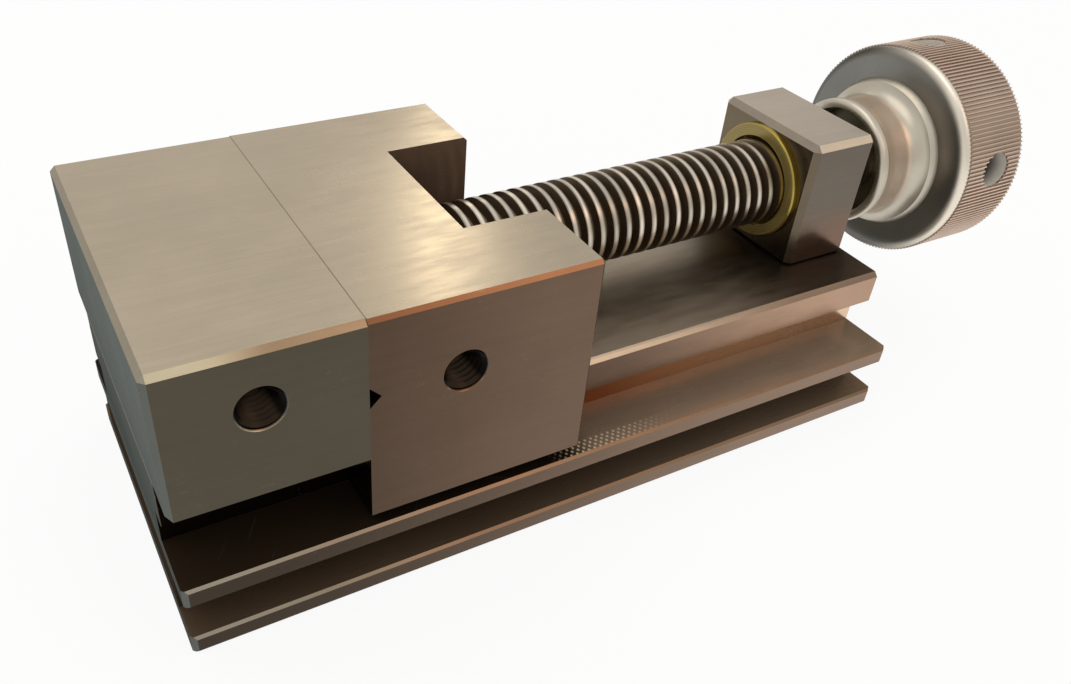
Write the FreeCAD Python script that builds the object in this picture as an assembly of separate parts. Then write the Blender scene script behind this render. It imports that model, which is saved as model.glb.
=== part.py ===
import FreeCAD, Part
import math
import os

# Precision vise: a ground steel bed with its fixed jaw, and a moving jaw that a screw pulls along a T rail.
# Millimetres. X runs along the screw from the fixed jaw's gripping face towards the knob,
# Y across the jaws, Z up from the base. The origin is on the base, under the middle of the
# fixed jaw's gripping face. The jaws are closed.

Vector = FreeCAD.Vector
X_AXIS = Vector(1, 0, 0)
Y_AXIS = Vector(0, 1, 0)
Z_AXIS = Vector(0, 0, 1)

# Overall form
jaw_width = 70.0
body_length = 163.0
fixed_jaw_length = 34.0
moving_jaw_length = 43.7
overall_height = 61.5
rail_top = 31.5

# Bed: two flanges with the clamping groove between them, and the T rail above
base_flange_top = 4.0
clamp_groove_depth = 8.0
upper_flange_bottom = 12.0
upper_flange_top = 16.2
rail_neck_width = 44.0
rail_overhang_bottom = 23.5
rail_width = 52.5
flange_edge = 0.5
rail_edge = 1.0
end_corner = 1.0

# Fixed jaw
wing_bottom = 33.0
jaw_edge = 1.0
relief_width = 1.2
relief_depth = 0.8

# Moving jaw
skirt_bottom = 18.8
notch_wall = 26.0
notch_width = 32.3
moving_jaw_edge = 0.7
slide_clearance = 0.03
lip_clearance = 0.25
grip_groove_depth = 2.1

# Tapped holes in the jaws' sides for stops and clamps
side_thread_radius = 4.0
side_thread_depth = 16.0
side_hole_setback = 17.5
fixed_side_hole_height = 50.5
countersink_depth = 0.3

# Screw: trapezoidal thread, eight turns to the inch
screw_axis_height = 46.25
screw_radius = 9.525
thread_pitch = 3.175
thread_root_clearance = 0.25
thread_flank_angle = 14.5
thread_crest_share = 0.37
thread_start_gap = 0.8
thread_mark = 28.165
thread_runout = 2.5
thread_end_chamfer = 1.2
ridge_sink = 0.2

# Screw nose, held in the moving jaw by two dog-point screws
nose_radius = 7.0
nose_bore_clearance = 0.05
nose_bore_bottom = 7.5
nose_edge = 0.8
pad_thickness = 2.0
pad_radius_clearance = 0.1
pad_clearance = 0.1
groove_root_radius = 5.2
groove_play = 0.1
lock_screw_radius = 3.0
lock_point_radius = 2.0
lock_point_length = 2.2
lock_screw_length = 10.0
lock_hole_clearance = 0.02

# Screw block and its brass nut
block_length = 17.5
block_width = 30.5
block_top = 60.5
block_edge = 1.25
block_foot_edge = 0.4
block_end_gap = 0.5
nut_radius = 11.0
nut_fit = 0.02
nut_flange_radius = 13.0
nut_flange_thickness = 1.2
nut_edge = 0.3
nut_mouth = 0.7
nut_rear_gap = 0.3
nut_thread_clearance = 0.1
nut_lock_radius = 2.5
nut_lock_gap = 0.3
nut_lock_point = 1.0
nut_lock_socket = 2.5

# Screws and dowels that hold the block on the bed
block_screw_radius = 2.0
block_screw_length = 30.0
block_screw_grip = 7.0
block_screw_tip_gap = 0.5
block_screw_head_radius = 3.5
block_screw_head_height = 4.0
block_screw_socket = 3.0
block_screw_spacing_x = 8.8
block_screw_spacing_y = 23.2
block_screw_end_distance = 5.4
screw_hole_clearance = 0.25
counterbore_clearance = 0.5
dowel_radius = 1.5
dowel_length = 14.0
dowel_in_block = 7.0
dowel_end_gap = 0.2
dowel_fit = 0.01

# Shank and knob
shank_radius = 7.5
seat_radius = 6.0
seat_fit = 0.02
knob_lip_gap = 8.0
knob_length = 33.1
knob_radius = 25.0
knob_front_recess_radius = 12.6
knob_front_recess_depth = 4.0
knob_lip_radius = 15.2
knob_lip_round = 1.2
knob_lip_length = 2.1
knob_waist_radius = 13.9
knob_waist_place = 6.0
knob_flare_start = 8.5
knob_step_radius = 17.3
knob_step_place = 12.6
knob_step_round = 0.9
knob_face_radius = 22.8
knob_face_slope = 0.3
knob_shoulder_drop = 0.2
knob_rim_start = 16.5
knob_rear_edge = 0.8
knob_rear_recess_radius = 8.5
knob_rear_recess_depth = 10.6
knob_inner_edge = 0.4

# Holes round the knob for a tommy bar
tommy_hole_radius = 4.0
tommy_hole_depth = 13.0
tommy_hole_place = 24.3
tommy_hole_count = 4
tommy_hole_turn = 80.5
tommy_hole_chamfer = 0.5

# Key, washers and screw that hold the knob
key_width = 4.0
key_height = 4.0
key_length = 14.0
key_in_shank = 2.5
key_start_gap = 2.0
key_fit = 0.02
key_top_gap = 0.2
shank_end_gap = 0.5
end_screw_radius = 3.0
end_screw_length = 14.0
end_screw_head_radius = 5.0
end_screw_head_height = 6.0
end_screw_socket = 5.0
end_screw_tip_gap = 1.5
washer_radius = 8.0
washer_thickness = 1.6
spring_washer_radius = 5.2
spring_washer_thickness = 1.6
spring_washer_split = 1.0
washer_hole_clearance = 0.2

# Places that follow from the sizes above
half_width = jaw_width / 2
rail_half = rail_width / 2
neck_half = rail_neck_width / 2
groove_half = half_width - clamp_groove_depth
body_start = -fixed_jaw_length
body_end = body_start + body_length
block_end = body_end - block_end_gap
block_start = block_end - block_length
block_middle = (block_start + block_end) / 2
block_screw_rear = body_end - block_screw_end_distance
block_screw_front = block_screw_rear - block_screw_spacing_x
nut_start = block_start - nut_flange_thickness
thread_start = notch_wall + thread_start_gap
thread_end = block_end + thread_runout
knob_start = block_end + knob_lip_gap
knob_end = knob_start + knob_length
knob_seat = knob_start + knob_front_recess_depth
washer_seat = knob_end - knob_rear_recess_depth
thread_depth = thread_pitch / 2 + thread_root_clearance
root_radius = screw_radius - thread_depth
pad_end = nose_bore_bottom + pad_thickness
nose_start = pad_end + pad_clearance
nose_bore_radius = nose_radius + nose_bore_clearance
lock_point_reach = groove_root_radius + groove_play


def box(low, high):
    """Box between two opposite corners."""
    return Part.makeBox(high[0] - low[0], high[1] - low[1], high[2] - low[2], Vector(*low))


def rod(radius, start, length, axis):
    """Round rod from a point along an axis."""
    return Part.makeCylinder(radius, length, Vector(*start), axis)


def cone(radius_start, radius_end, start, length, axis):
    """Cone or chamfer from a point along an axis."""
    return Part.makeCone(radius_start, radius_end, length, Vector(*start), axis)


def screw_rod(radius, start, end):
    """Round rod on the screw's axis between two places along X."""
    return rod(radius, (start, 0, screw_axis_height), end - start, X_AXIS)


def prism(points, direction):
    """Flat closed outline pushed along a direction."""
    outline = Part.makePolygon([Vector(*point) for point in points + points[:1]])
    return Part.Face(outline).extrude(direction)


def hexagon(across_flats, start, length, axis):
    """Six-sided socket from a point along an axis."""
    corner = across_flats / math.sqrt(3)
    points = []
    for step in range(6):
        angle = math.radians(60 * step)
        points.append(Vector(corner * math.cos(angle), corner * math.sin(angle), 0))
    outline = Part.makePolygon(points + points[:1])
    socket = Part.Face(outline).extrude(Vector(0, 0, length))
    socket.Placement = FreeCAD.Placement(Vector(*start), FreeCAD.Rotation(Z_AXIS, axis))
    return socket


def edges_like(shape, accept):
    """Edges whose two ends both pass a test."""
    return [edge for edge in shape.Edges if len(edge.Vertexes) == 2
            and all(accept(vertex.Point) for vertex in edge.Vertexes)]


def near(value, place):
    """True where two places agree."""
    return abs(value - place) < 1e-6


def turn_about_screw(shape, degrees):
    """Shape turned about the screw's axis."""
    turned = shape.copy()
    turned.rotate(Vector(0, 0, screw_axis_height), X_AXIS, degrees)
    return turned


def half_profile():
    """One side of the bed's section, from the base up to the rail, as (y, z)."""
    return [
        (half_width - flange_edge, 0),
        (half_width, flange_edge),
        (half_width, base_flange_top - flange_edge),
        (half_width - flange_edge, base_flange_top),
        (groove_half, base_flange_top),
        (groove_half, upper_flange_bottom),
        (half_width - flange_edge, upper_flange_bottom),
        (half_width, upper_flange_bottom + flange_edge),
        (half_width, upper_flange_top - flange_edge),
        (half_width - flange_edge, upper_flange_top),
        (neck_half, upper_flange_top),
        (neck_half, rail_overhang_bottom),
        (rail_half - flange_edge, rail_overhang_bottom),
        (rail_half, rail_overhang_bottom + flange_edge),
        (rail_half, rail_top - rail_edge),
        (rail_half - rail_edge, rail_top),
    ]


def bed_bar():
    """The bed as a long bar of one section."""
    side = half_profile()
    outline = [(body_start, y, z) for y, z in side]
    outline += [(body_start, -y, z) for y, z in reversed(side)]
    return prism(outline, Vector(body_length, 0, 0))


def fixed_jaw():
    """The fixed jaw: a block with wings over the bed's sides, and its foot on the rail."""
    wings = box((body_start, -half_width, wing_bottom), (0, half_width, overall_height))
    bevelled = edges_like(wings, lambda p: near(p.x, body_start))
    bevelled += edges_like(wings, lambda p: near(p.z, overall_height) and near(abs(p.y), half_width))
    bevelled = [edge for edge in bevelled if not (near(edge.Vertexes[0].Point.y, -edge.Vertexes[1].Point.y)
                                                  and near(edge.Vertexes[0].Point.x, 0))]
    wings = wings.makeChamfer(jaw_edge, bevelled)
    foot = box((body_start, -rail_half, rail_top - rail_edge), (0, rail_half, wing_bottom + jaw_edge))
    foot = foot.makeChamfer(min(end_corner, jaw_edge) / 2, edges_like(
        foot, lambda p: near(p.x, body_start) and near(abs(p.y), rail_half)))
    return wings.fuse(foot)


def end_corner_cuts():
    """Upright bevels on the four outer corners of the flanges."""
    cuts = []
    for x, inward in ((body_start, 1), (body_end, -1)):
        for side in (-1, 1):
            y = side * half_width
            points = [(x, y, 0), (x + inward * end_corner, y, 0), (x, y - side * end_corner, 0)]
            cuts.append(prism(points, Vector(0, 0, upper_flange_top)))
    return cuts


def block_screw_places():
    """Centres of the four screws under the block, with a name for each corner."""
    places = {}
    for end, x in (("front", block_screw_front), ("rear", block_screw_rear)):
        for side, across in (("near", -1), ("far", 1)):
            places[end + "_" + side] = (x, across * block_screw_spacing_y / 2)
    return places


def dowel_places():
    """Centres of the two dowels under the block, each between two screws."""
    x = (block_screw_front + block_screw_rear) / 2
    return {side: (x, across * block_screw_spacing_y / 2) for side, across in (("near", -1), ("far", 1))}


def block_screw_seat():
    """Height of the seat under a block screw's head."""
    return rail_top + block_screw_grip - block_screw_length


def tapped_side_hole(x, height, side):
    """Tapped hole with a small countersink, in from a side face. side is -1 or 1."""
    inward = Vector(0, -side, 0)
    mouth = (x, side * half_width, height)
    hole = rod(side_thread_radius, mouth, side_thread_depth, inward)
    return hole.fuse(cone(side_thread_radius + countersink_depth, side_thread_radius, mouth,
                          countersink_depth, inward))


def vise_body():
    """Bed and fixed jaw in one piece."""
    body = bed_bar().fuse(fixed_jaw())
    cuts = end_corner_cuts()
    cuts.append(box((0, -half_width, rail_top - relief_depth), (relief_width, half_width, rail_top + relief_depth)))
    for side in (-1, 1):
        cuts.append(tapped_side_hole(-side_hole_setback, fixed_side_hole_height, side))
    seat = block_screw_seat()
    for x, y in block_screw_places().values():
        cuts.append(rod(block_screw_radius + screw_hole_clearance, (x, y, 0), rail_top, Z_AXIS))
        cuts.append(rod(block_screw_head_radius + counterbore_clearance, (x, y, 0), seat, Z_AXIS))
    depth = dowel_length - dowel_in_block + dowel_end_gap
    for x, y in dowel_places().values():
        cuts.append(rod(dowel_radius + dowel_fit, (x, y, rail_top - depth), depth, Z_AXIS))
    return body.cut(cuts).removeSplitter()


def rail_space():
    """Room for the rail inside the moving jaw, with the lips that reach under the rail's overhang."""
    top = rail_top + slide_clearance
    side = rail_half + slide_clearance
    lip_top = rail_overhang_bottom - slide_clearance
    lip_end = neck_half + lip_clearance
    outline = [
        (0, -side, lip_top), (0, -side, top), (0, side, top), (0, side, lip_top),
        (0, lip_end, lip_top), (0, lip_end, skirt_bottom), (0, -lip_end, skirt_bottom), (0, -lip_end, lip_top),
    ]
    return prism(outline, Vector(moving_jaw_length, 0, 0))


def grip_groove():
    """V groove across the moving jaw's gripping face, for round work."""
    depth = grip_groove_depth
    points = [
        (0, -half_width, screw_axis_height + depth),
        (depth, -half_width, screw_axis_height),
        (0, -half_width, screw_axis_height - depth),
    ]
    return prism(points, Vector(0, jaw_width, 0))


def moving_jaw():
    """Moving jaw: it straddles the rail, and its rear is notched round the screw."""
    jaw = box((0, -half_width, skirt_bottom), (moving_jaw_length, half_width, overall_height))
    rear = moving_jaw_length
    bevelled = edges_like(jaw, lambda p: near(p.x, rear))
    bevelled += [edge for edge in edges_like(jaw, lambda p: near(abs(p.y), half_width))
                 if near(edge.Vertexes[0].Point.z, edge.Vertexes[1].Point.z)
                 and near(edge.Vertexes[0].Point.y, edge.Vertexes[1].Point.y)]
    jaw = jaw.makeChamfer(moving_jaw_edge, bevelled)
    cuts = [rail_space(), grip_groove()]
    cuts.append(box((notch_wall, -notch_width / 2, skirt_bottom), (rear, notch_width / 2, overall_height)))
    cuts.append(screw_rod(nose_bore_radius, nose_bore_bottom, notch_wall))
    for side in (-1, 1):
        cuts.append(tapped_side_hole(side_hole_setback, screw_axis_height, side))
        start = (side_hole_setback, side * half_width, screw_axis_height)
        cuts.append(rod(lock_screw_radius + lock_hole_clearance, start, half_width, Vector(0, -side, 0)))
    return jaw.cut(cuts).removeSplitter()


def nose_lock_screw(side):
    """Dog-point screw whose point runs in the groove of the screw's nose. side is -1 or 1."""
    outward = Vector(0, side, 0)
    tip = (side_hole_setback, side * lock_point_reach, screw_axis_height)
    shoulder = lock_point_reach + lock_point_length
    start = (side_hole_setback, side * shoulder, screw_axis_height)
    end = (side_hole_setback, side * (shoulder + lock_screw_length), screw_axis_height)
    screw = rod(lock_point_radius, tip, lock_point_length, outward)
    screw = screw.fuse(rod(lock_screw_radius, start, lock_screw_length, outward))
    return screw.cut(hexagon(lock_screw_radius, end, lock_screw_radius, Vector(0, -side, 0))).removeSplitter()


def thrust_pad():
    """Hardened disc at the bottom of the nose bore, which takes the clamping force."""
    return screw_rod(nose_bore_radius - pad_radius_clearance, nose_bore_bottom, pad_end)


def threaded_rod(start, end, growth):
    """Rod with the screw's thread, longer than asked at both ends. growth widens it all round, for the nut."""
    flank = math.tan(math.radians(thread_flank_angle))
    crest = thread_crest_share * thread_pitch / 2 + growth
    foot_radius = root_radius + growth - ridge_sink
    crest_radius = screw_radius + growth
    foot = crest + (crest_radius - foot_radius) * flank
    turns_before = math.ceil((thread_mark - start) / thread_pitch) + 1
    helix_start = thread_mark - turns_before * thread_pitch
    helix_length = (math.ceil((end - helix_start) / thread_pitch) + 1) * thread_pitch
    helix = Part.makeHelix(thread_pitch, helix_length, root_radius)
    outline = Part.makePolygon([
        Vector(foot_radius, 0, -foot), Vector(crest_radius, 0, -crest),
        Vector(crest_radius, 0, crest), Vector(foot_radius, 0, foot), Vector(foot_radius, 0, -foot),
    ])
    ridge = Part.Wire(helix.Edges).makePipeShell([outline], True, True)
    spare = 2 * thread_pitch
    core = rod(root_radius + growth, (0, 0, -spare), helix_length + 2 * spare, Z_AXIS)
    threaded = core.fuse(ridge)
    threaded.Placement = FreeCAD.Placement(Vector(helix_start, 0, screw_axis_height),
                                           FreeCAD.Rotation(Z_AXIS, X_AXIS))
    return threaded


def threaded_length():
    """Threaded stretch of the screw with bevelled ends."""
    spare = thread_depth
    envelope = screw_rod(screw_radius + spare, thread_start, thread_end)
    envelope = envelope.makeChamfer(thread_end_chamfer + spare, [edge for edge in envelope.Edges if edge.Closed])
    return threaded_rod(thread_start, thread_end, 0).common(envelope)


def lead_screw():
    """Lead screw: grooved nose, thread, shank and the keyed seat of the knob."""
    nose = screw_rod(nose_radius, nose_start, thread_start)
    nose = nose.makeChamfer(nose_edge, [edge for edge in nose.Edges
                                        if edge.Closed and near(edge.CenterOfMass.x, nose_start)])
    groove_half_width = lock_point_radius + groove_play
    ring = screw_rod(nose_radius + nose_edge, side_hole_setback - groove_half_width, side_hole_setback + groove_half_width)
    nose = nose.cut(ring.cut(screw_rod(groove_root_radius, nose_start, thread_start)))
    shank = screw_rod(shank_radius, thread_end, knob_seat)
    seat_end = washer_seat - shank_end_gap
    seat = screw_rod(seat_radius, knob_seat, seat_end)
    screw = threaded_length().fuse([nose, shank, seat])
    tapped = end_screw_length + end_screw_tip_gap
    cuts = [screw_rod(end_screw_radius + seat_fit, seat_end - tapped, seat_end), key_space(0)]
    return screw.cut(cuts).removeSplitter()


def key_space(top_gap):
    """Slot for the key in the screw's seat, or with a gap above the key for the knob."""
    start = knob_seat + key_start_gap - key_fit
    half = key_width / 2 + key_fit
    bottom = screw_axis_height + seat_radius - key_in_shank
    return box((start, -half, bottom), (start + key_length + 2 * key_fit, half, bottom + key_height + top_gap))


def knob_key():
    """Parallel key that turns the screw with the knob."""
    start = knob_seat + key_start_gap
    bottom = screw_axis_height + seat_radius - key_in_shank
    return box((start, -key_width / 2, bottom), (start + key_length, key_width / 2, bottom + key_height))


def arc(first, middle, last):
    """Arc through three points given as (place along the knob, radius)."""
    points = [Vector(knob_start + x, 0, screw_axis_height + radius) for x, radius in (first, middle, last)]
    return Part.Arc(*points).toShape()


def line(first, last):
    """Line between two points given as (place along the knob, radius)."""
    points = [Vector(knob_start + x, 0, screw_axis_height + radius) for x, radius in (first, last)]
    return Part.LineSegment(*points).toShape()


def knob_profile():
    """Outline of the knob from its front recess round the rim to its rear recess."""
    recess = knob_front_recess_depth
    lip = knob_lip_round
    slant = lip * (1 - math.sqrt(0.5))
    inner = knob_inner_edge
    step = knob_step_round
    face = knob_step_place + step
    outer_face = face + knob_face_slope
    rim = knob_radius - knob_shoulder_drop
    shoulder_x = knob_rim_start - outer_face
    shoulder_r = rim - knob_face_radius
    corner_x = outer_face + shoulder_x * (1 - math.sqrt(0.5))
    corner_r = knob_face_radius + shoulder_r * math.sqrt(0.5)
    flare_x = (knob_flare_start + knob_step_place) / 2 + (knob_step_place - knob_flare_start) / 6
    flare_r = knob_waist_radius + (knob_step_radius - knob_waist_radius) / 3
    bore = seat_radius + seat_fit
    rear = knob_length
    washer = rear - knob_rear_recess_depth
    dip = (knob_lip_length + knob_waist_place) / 2
    dip_r = knob_waist_radius + (knob_lip_radius - knob_waist_radius) / 4
    return [
        line((recess, bore), (recess, knob_front_recess_radius)),
        line((recess, knob_front_recess_radius), (inner, knob_front_recess_radius)),
        line((inner, knob_front_recess_radius), (0, knob_front_recess_radius + inner)),
        line((0, knob_front_recess_radius + inner), (0, knob_lip_radius - lip)),
        arc((0, knob_lip_radius - lip), (slant, knob_lip_radius - slant), (lip, knob_lip_radius)),
        line((lip, knob_lip_radius), (knob_lip_length, knob_lip_radius)),
        arc((knob_lip_length, knob_lip_radius), (dip, dip_r), (knob_waist_place, knob_waist_radius)),
        line((knob_waist_place, knob_waist_radius), (knob_flare_start, knob_waist_radius)),
        arc((knob_flare_start, knob_waist_radius), (flare_x, flare_r), (knob_step_place, knob_step_radius)),
        arc((knob_step_place, knob_step_radius),
            (knob_step_place + step * math.sqrt(0.5), knob_step_radius + step * (1 - math.sqrt(0.5))),
            (face, knob_step_radius + step)),
        line((face, knob_step_radius + step), (outer_face, knob_face_radius)),
        arc((outer_face, knob_face_radius), (corner_x, corner_r), (knob_rim_start, rim)),
        line((knob_rim_start, rim), (knob_rim_start, knob_radius)),
        line((knob_rim_start, knob_radius), (rear - knob_rear_edge, knob_radius)),
        line((rear - knob_rear_edge, knob_radius), (rear, knob_radius - knob_rear_edge)),
        line((rear, knob_radius - knob_rear_edge), (rear, knob_rear_recess_radius + inner)),
        line((rear, knob_rear_recess_radius + inner), (rear - inner, knob_rear_recess_radius)),
        line((rear - inner, knob_rear_recess_radius), (washer, knob_rear_recess_radius)),
        line((washer, knob_rear_recess_radius), (washer, bore)),
        line((washer, bore), (recess, bore)),
    ]


def tommy_hole():
    """One bevelled hole for a tommy bar, in from the knob's rim along -Y."""
    mouth = (knob_start + tommy_hole_place, knob_radius, screw_axis_height)
    inward = Vector(0, -1, 0)
    hole = rod(tommy_hole_radius, mouth, tommy_hole_depth, inward)
    return hole.fuse(cone(tommy_hole_radius + tommy_hole_chamfer, tommy_hole_radius, mouth, tommy_hole_chamfer, inward))


def knob():
    """Knob with its hub, rim and tommy-bar holes."""
    face = Part.Face(Part.Wire(knob_profile()))
    turned = face.revolve(Vector(0, 0, screw_axis_height), X_AXIS, 360)
    cuts = [key_space(key_top_gap)]
    for number in range(tommy_hole_count):
        cuts.append(turn_about_screw(tommy_hole(), tommy_hole_turn + 360 * number / tommy_hole_count))
    return turned.cut(cuts).removeSplitter()


def knob_washer():
    """Flat washer behind the knob."""
    washer = screw_rod(washer_radius, washer_seat, washer_seat + washer_thickness)
    return washer.cut(screw_rod(end_screw_radius + washer_hole_clearance, washer_seat, washer_seat + washer_thickness))


def knob_spring_washer():
    """Split spring washer under the head of the knob's screw."""
    start = washer_seat + washer_thickness
    end = start + spring_washer_thickness
    washer = screw_rod(spring_washer_radius, start, end)
    bore = screw_rod(end_screw_radius + washer_hole_clearance, start, end)
    split = box((start, -spring_washer_split / 2, screw_axis_height),
                (end, spring_washer_split / 2, screw_axis_height + spring_washer_radius))
    return washer.cut([bore, split])


def knob_end_screw():
    """Socket screw that holds the knob on the screw's seat."""
    head_start = washer_seat + washer_thickness + spring_washer_thickness
    head_end = head_start + end_screw_head_height
    shaft = screw_rod(end_screw_radius, washer_seat - shank_end_gap - end_screw_length, head_start)
    head = screw_rod(end_screw_head_radius, head_start, head_end)
    depth = end_screw_head_height / 2
    socket = hexagon(end_screw_socket, (head_end - depth, 0, screw_axis_height), depth, X_AXIS)
    return shaft.fuse(head).cut(socket).removeSplitter()


def screw_block():
    """Block at the end of the rail that carries the nut."""
    low = (block_start, -block_width / 2, rail_top)
    high = (block_end, block_width / 2, block_top)
    block = box(low, high)
    foot = edges_like(block, lambda p: near(p.z, rail_top))
    foot_ids = [edge.hashCode() for edge in foot]
    block_edges = [edge for edge in block.Edges if edge.hashCode() not in foot_ids]
    block = block.makeChamfer(block_edge, block_edges)
    block = block.makeChamfer(block_foot_edge, edges_like(block, lambda p: near(p.z, rail_top)))
    cuts = [screw_rod(nut_radius + nut_fit, block_start, block_end)]
    for x, y in block_screw_places().values():
        cuts.append(rod(block_screw_radius, (x, y, rail_top), block_screw_grip + block_screw_tip_gap, Z_AXIS))
    for x, y in dowel_places().values():
        cuts.append(rod(dowel_radius + dowel_fit, (x, y, rail_top), dowel_in_block + dowel_end_gap, Z_AXIS))
    cuts.append(rod(nut_lock_radius, (block_middle, 0, rail_top), screw_axis_height - rail_top, Z_AXIS))
    return block.cut(cuts).removeSplitter()


def nut_lock_screw():
    """Cone-point screw from under the block into the nut's dimple."""
    bottom = rail_top + nut_lock_gap
    top = screw_axis_height - nut_radius - nut_lock_gap
    shaft = rod(nut_lock_radius, (block_middle, 0, bottom), top - bottom, Z_AXIS)
    point = cone(nut_lock_radius, nut_lock_radius - nut_lock_point, (block_middle, 0, top), nut_lock_point, Z_AXIS)
    socket = hexagon(nut_lock_socket, (block_middle, 0, bottom), (top - bottom) / 2, Z_AXIS)
    return shaft.fuse(point).cut(socket).removeSplitter()


def brass_nut():
    """Flanged nut in the block, with the thread that the screw turns in."""
    end = block_end - nut_rear_gap
    flange = screw_rod(nut_flange_radius, nut_start, block_start)
    flange = flange.makeChamfer(nut_edge, [edge for edge in flange.Edges
                                           if edge.Closed and near(edge.CenterOfMass.x, nut_start)])
    nut = flange.fuse(screw_rod(nut_radius, block_start, end))
    growth = nut_thread_clearance
    mouth = cone(screw_radius + growth + nut_mouth, root_radius, (nut_start, 0, screw_axis_height),
                 screw_radius + growth + nut_mouth - root_radius, X_AXIS)
    dimple_top = screw_axis_height - nut_radius - nut_lock_gap + nut_lock_point
    dimple = rod(nut_lock_radius, (block_middle, 0, rail_top), dimple_top - rail_top, Z_AXIS)
    return nut.cut([threaded_rod(nut_start, end, growth), mouth, dimple]).removeSplitter()


def block_screw(x, y):
    """Socket screw from under the bed up into the block."""
    seat = block_screw_seat()
    shaft = rod(block_screw_radius, (x, y, seat), block_screw_length, Z_AXIS)
    head = rod(block_screw_head_radius, (x, y, seat - block_screw_head_height), block_screw_head_height, Z_AXIS)
    socket = hexagon(block_screw_socket, (x, y, seat - block_screw_head_height), block_screw_head_height / 2, Z_AXIS)
    return shaft.fuse(head).cut(socket).removeSplitter()


def block_dowel(x, y):
    """Dowel that keeps the block square on the rail."""
    return rod(dowel_radius, (x, y, rail_top + dowel_in_block - dowel_length), dowel_length, Z_AXIS)


def vise():
    """Every sub-part by its name."""
    parts = {
        "vise_body": vise_body(),
        "moving_jaw": moving_jaw(),
        "thrust_pad": thrust_pad(),
        "nose_lock_screw_near": nose_lock_screw(-1),
        "nose_lock_screw_far": nose_lock_screw(1),
        "lead_screw": lead_screw(),
        "screw_block": screw_block(),
        "brass_nut": brass_nut(),
        "nut_lock_screw": nut_lock_screw(),
        "knob": knob(),
        "knob_key": knob_key(),
        "knob_washer": knob_washer(),
        "knob_spring_washer": knob_spring_washer(),
        "knob_end_screw": knob_end_screw(),
    }
    for name, (x, y) in block_screw_places().items():
        parts["block_screw_" + name] = block_screw(x, y)
    for name, (x, y) in dowel_places().items():
        parts["block_dowel_" + name] = block_dowel(x, y)
    return parts


def main():
    """Write one file for each sub-part."""
    os.makedirs("parts", exist_ok=True)
    for name, shape in vise().items():
        solids = shape.Solids
        print(name, "solids", len(solids), "valid", shape.isValid(), "volume", round(shape.Volume, 2))
        solid = solids[0] if len(solids) == 1 else shape
        solid.exportStep(os.path.join("parts", name + ".step"))


main()
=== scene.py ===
"""Looks of a precision vise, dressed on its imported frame. Metres; X along the screw, Z up."""

import logging
import math
from collections.abc import Callable
from dataclasses import dataclass
from enum import Enum
from functools import cache, cached_property

import bmesh
import bpy
from mathutils import Matrix, Vector


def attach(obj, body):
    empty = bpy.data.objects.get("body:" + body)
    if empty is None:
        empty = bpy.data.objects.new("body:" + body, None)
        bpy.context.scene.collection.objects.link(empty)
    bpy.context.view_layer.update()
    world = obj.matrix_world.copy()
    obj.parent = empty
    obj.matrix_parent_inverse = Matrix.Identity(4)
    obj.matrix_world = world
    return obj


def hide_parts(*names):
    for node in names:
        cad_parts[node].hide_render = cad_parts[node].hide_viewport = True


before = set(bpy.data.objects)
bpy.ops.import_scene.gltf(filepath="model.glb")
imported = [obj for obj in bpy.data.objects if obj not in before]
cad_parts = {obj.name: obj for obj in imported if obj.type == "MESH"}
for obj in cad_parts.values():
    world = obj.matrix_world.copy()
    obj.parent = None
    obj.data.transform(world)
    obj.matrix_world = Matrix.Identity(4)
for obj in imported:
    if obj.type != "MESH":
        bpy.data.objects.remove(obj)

MM = 0.001
HAIR = 0.1 * MM
log = logging.getLogger("vise")

Colour = tuple[float, float, float, float]
Point = tuple[float, float, float]
Station = tuple[float, float]
Pair = tuple[str, str]
Socket = bpy.types.NodeSocket
Feed = Socket | float | Colour | Point


class Body(Enum):
    """The bodies that pieces ride on."""

    BED = "bed"
    SLIDE = "slide"
    SCREW = "screw"


class Side(Enum):
    """The two sides of the vise, as signs along Y."""

    NEAR = -1
    FAR = 1


@dataclass(frozen=True)
class Layout:
    """Places that several pieces share, in metres."""

    screw_height: float = 46.25 * MM
    side_hole_setback: float = 17.5 * MM
    fixed_hole_height: float = 50.5 * MM
    half_width: float = 35.0 * MM
    flange_top: float = 16.2 * MM
    groove_low: float = 4.0 * MM
    groove_high: float = 12.0 * MM
    neck_half: float = 22.0 * MM
    overhang: float = 23.5 * MM
    rail_top: float = 31.5 * MM
    wing_bottom: float = 33.0 * MM
    jaw_middle: float = 43.0 * MM
    jaw_rear: float = 43.7 * MM
    hole_radius: float = 4.0 * MM
    fixed_end: float = -34.0 * MM
    knob_start: float = 136.5 * MM


@dataclass(frozen=True)
class Pattern:
    """How fine the shared patterns are, in marks for each metre, and how far they are drawn out along X."""

    line_scale: float = 1300.0
    line_stretch: Point = (0.012, 1.0, 1.0)
    wide_scale: float = 620.0
    wide_stretch: Point = (0.02, 1.0, 1.0)
    wide_share: float = 0.35
    grain_scale: float = 420.0
    grain_stretch: Point = (0.25, 1.0, 1.0)
    cloud_scale: float = 42.0
    scratch_scale: float = 1900.0
    scratch_turns: tuple[float, float] = (24.0, -57.0)
    scratch_moves: tuple[float, float] = (11.3, 37.1)
    patch_scale: float = 130.0
    ring_scale: float = 6500.0
    band_scale: float = 900.0


def tone(code: str) -> Colour:
    """Turn a colour written as on a paint card into linear light.

    Args:
        code: Six hexadecimal digits, red first.

    Returns:
        The colour with full cover.
    """
    parts = [int(code[start:start + 2], 16) / 255 for start in (0, 2, 4)]
    light = [part / 12.92 if part < 0.04045 else ((part + 0.055) / 1.055) ** 2.4 for part in parts]
    return (light[0], light[1], light[2], 1.0)


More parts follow.
